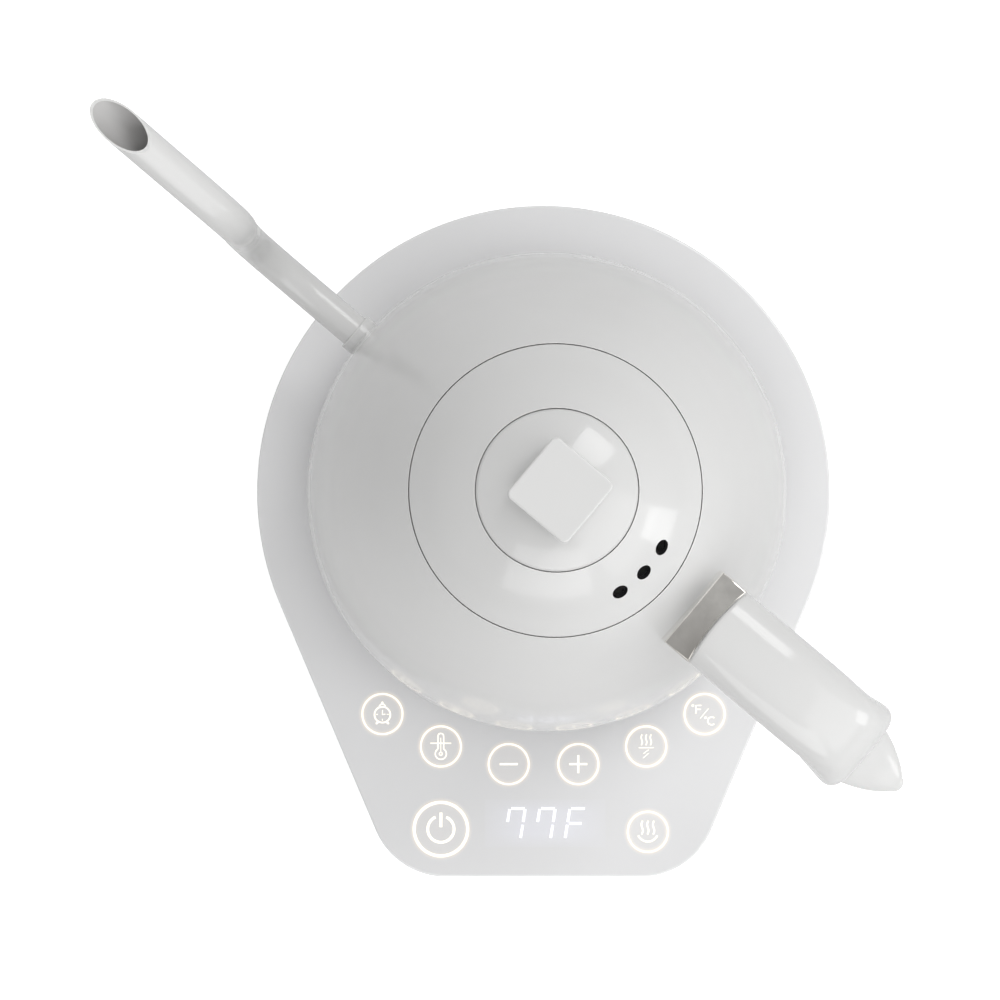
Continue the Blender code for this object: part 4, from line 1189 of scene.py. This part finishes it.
def power_glyph():
    """Open circle with a bar in its gap."""
    return [
        (arc((0.0, 0.0), 3.9, 114.0, 426.0, 56), 1.1, False),
        ([(0.0, 0.6), (0.0, 4.9)], 1.2, False),
    ]


GLYPHS = {
    "alarm": clock_glyph(),
    "preset": thermometer_glyph(),
    "minus": [([(-2.65, 0.0), (2.65, 0.0)], 0.85, False)],
    "plus": [([(-2.65, 0.0), (2.65, 0.0)], 0.8, False), ([(0.0, -2.65), (0.0, 2.65)], 0.8, False)],
    "boil": boil_glyph(),
    "unit": unit_glyph(),
    "keep_warm": warm_glyph(),
    "power": power_glyph(),
}


def segment_lines():
    """The seven segments of an upright digit, as short lines inside their cells."""
    x, y, gap = DIGIT_WIDTH / 2 - DIGIT_LINE / 2, DIGIT_HEIGHT / 2 - DIGIT_LINE / 2, 0.45
    return {
        "a": ((-x + gap, y), (x - gap * 0.4, y)),
        "b": ((x, y - gap * 0.4), (x, gap)),
        "c": ((x, -gap), (x, -y + gap * 0.2)),
        "d": ((x - gap, -y), (-x + gap, -y)),
        "e": ((-x, -y + gap * 0.2), (-x, -gap)),
        "f": ((-x, gap), (-x, y - gap * 0.4)),
        "g": ((-x + gap, 0.0), (x - gap, 0.0)),
    }


def build_lit_panel():
    """Rings, glyphs and digits that shine through the panel."""
    for name, centre, radius in key_rings():
        width = POWER_LINE if name == "power" else RING_LINE
        strokes = [(circle(0.0, 0.0, radius - width / 2, 96), width, True)]
        lit_piece("ring_" + name, strokes, centre, WARM_LIGHT)
        strokes = [(line, width * GLYPH_WEIGHT, closed) for line, width, closed in GLYPHS[name]]
        lit_piece("glyph_" + name, strokes, centre, WARM_LIGHT)
    centre = middle("display_module").xy
    lines = segment_lines()
    slant = math.tan(math.radians(DIGIT_SLANT))
    for i, sign in enumerate(READING):
        start = (i - (len(READING) - 1) / 2) * DIGIT_PITCH
        strokes = []
        for letter in SEGMENTS[sign]:
            line = [(start + x + y * slant, y) for x, y in lines[letter]]
            strokes.append((line, DIGIT_LINE, False))
        lit_piece(f"digit_{i + 1}", strokes, centre, COLD_LIGHT)


# Inner pieces


def build_lid_insert():
    """Cup under the lid, with a steam hole below each vent."""
    mesh = turned_again("lid_insert", 0.3, angle=SECTION_ANGLE)
    bottom, top = low("lid_insert").z, high("lid_insert").z
    for angle in VENT_ANGLES:
        centre = polar(STEAM_HOLE_CIRCLE, angle)
        hole = round_cutter("steam_hole", STEAM_HOLE_RADIUS, bottom, top, centre)
        hole.transform(kettle_turn())
        mesh = cut_mesh(mesh, hole)
    stand_in("lid_insert", mesh)


def build_cord():
    """Mains cord: out of the hub, round the store, then over to the plug."""
    places = []
    for i in range(CORD_LEAD_STEPS):
        share = i / CORD_LEAD_STEPS
        radius = CORD_INNER - CORD_LEAD * (1.0 - share) ** 2
        places.append(polar(radius, CORD_HUB_ANGLE + (CORD_STORE_ANGLE - CORD_HUB_ANGLE) * share))
    for i in range(CORD_WIND_STEPS + 1):
        share = i / CORD_WIND_STEPS
        radius = CORD_INNER + (CORD_OUTER - CORD_INNER) * share
        places.append(polar(radius, CORD_STORE_ANGLE + (CORD_END_ANGLE - CORD_STORE_ANGLE) * share))
    path = curve_through([Vector((*place, CORD_HEIGHT)) for place in places + list(CORD_TO_PLUG)], 4)
    stand_in("mains_cord", sweep("mains_cord_piece", path, CORD_RADIUS))


def build_turned_pieces():
    """The other turned nodes, made again with fine facets and rounded corners."""
    for node, fillet in (
        ("lid_neck", 0.2),
        ("vessel_floor", 0.4),
        ("kettle_connector", 0.4),
        ("connector_pin", 0.3),
        ("connector_ring_inner", 0.12),
        ("connector_ring_outer", 0.12),
        ("kettle_bottom_cover", 0.6),
        ("lid_gasket", 0.4),
    ):
        stand_in(node, turned_again(node, fillet, ROUND_STEPS, angle=SECTION_ANGLE))
    stand_in("base_connector", turned_again("base_connector", 0.35, ROUND_STEPS))
    for node in ("contact_ring_inner", "contact_ring_outer"):
        stand_in(node, turned_again(node, 0.12, ROUND_STEPS))
    for node in sorted(frame["nodes"]):
        if node.startswith(("foot_", "base_screw_", "touch_key_")) or node == "buzzer":
            centre = middle(node)
            stand_in(node, turned_again(node, 0.3, SMALL_TURN_STEPS, (centre.x, centre.y)))


def dress_cad_nodes():
    """Give every CAD node its procedural material, and the ones that stay in sight rounded edges."""
    for name, node in frame["nodes"].items():
        for slot in node.material_slots:
            slot.material = MATERIALS[SLOT_OF[name]]
        if not node.material_slots:
            node.data.materials.append(MATERIALS[SLOT_OF[name]])
        if name not in REMADE:
            bevel = node.modifiers.new("edges", "BEVEL")
            bevel.width = CAD_EDGE * MM
            bevel.segments = 3
            bevel.limit_method = "ANGLE"
            bevel.angle_limit = SHARP_ANGLE
            bevel.harden_normals = True


# Studio


def build_floor():
    """Plain pale floor."""
    shape = bmesh.new()
    bmesh.ops.create_grid(shape, x_segments=FLOOR_CELLS, y_segments=FLOOR_CELLS, size=FLOOR_HALF)
    mesh = bpy.data.meshes.new("studio_floor")
    shape.to_mesh(mesh)
    shape.free()
    mesh.materials.append(floor_material())
    floor = bpy.data.objects.new("studio_floor", mesh)
    floor.location.z = -FLOOR_DROP
    bpy.context.scene.collection.objects.link(floor)


def add_light(name, place, target, size, power, mirrored):
    """A soft area light that faces its target, and may be kept out of reflections."""
    data = bpy.data.lights.new(name, "AREA")
    data.shape = "RECTANGLE"
    data.size, data.size_y = size
    data.energy = power
    light = bpy.data.objects.new(name, data)
    light.location = place
    light.visible_glossy = mirrored
    direction = Vector(target) - Vector(place)
    light.rotation_euler = direction.to_track_quat("-Z", "Y").to_euler()
    bpy.context.scene.collection.objects.link(light)


def build_world():
    """Soft grey surroundings, a little brighter at the horizon than overhead."""
    world = bpy.data.worlds.new("studio")
    world.use_nodes = True
    tree = world.node_tree
    place = tree.nodes.new("ShaderNodeTexCoord")
    axes = tree.nodes.new("ShaderNodeSeparateXYZ")
    rise = tree.nodes.new("ShaderNodeMapRange")
    rise.inputs["To Min"].default_value = HORIZON_LIGHT
    rise.inputs["To Max"].default_value = ZENITH_LIGHT
    tree.links.new(place.outputs["Generated"], axes.inputs[0])
    tree.links.new(axes.outputs["Z"], rise.inputs["Value"])
    tree.links.new(rise.outputs["Result"], tree.nodes["Background"].inputs["Strength"])
    tree.nodes["Background"].inputs["Color"].default_value = (1.0, 1.0, 1.0, 1.0)
    bpy.context.scene.world = world


def build_camera():
    """Camera straight above the kettle, a little to the left of its axis."""
    data = bpy.data.cameras.new("camera")
    data.lens = CAMERA_LENS
    data.shift_y = CAMERA_SHIFT
    data.clip_start = 0.01
    camera = bpy.data.objects.new("camera", data)
    camera.location = (*CAMERA_PLACE, CAMERA_RISE + BASE_TOP * MM)
    bpy.context.scene.collection.objects.link(camera)
    bpy.context.scene.camera = camera


build_body()
build_lid()
build_spout()
build_collar()
build_grip()
build_bracket()
build_base()
build_lit_panel()
build_turned_pieces()
build_lid_insert()
build_cord()
dress_cad_nodes()
build_floor()
build_world()
for light in LIGHTS:
    add_light(*light)
build_camera()
bpy.context.scene.view_settings.view_transform = "Standard"
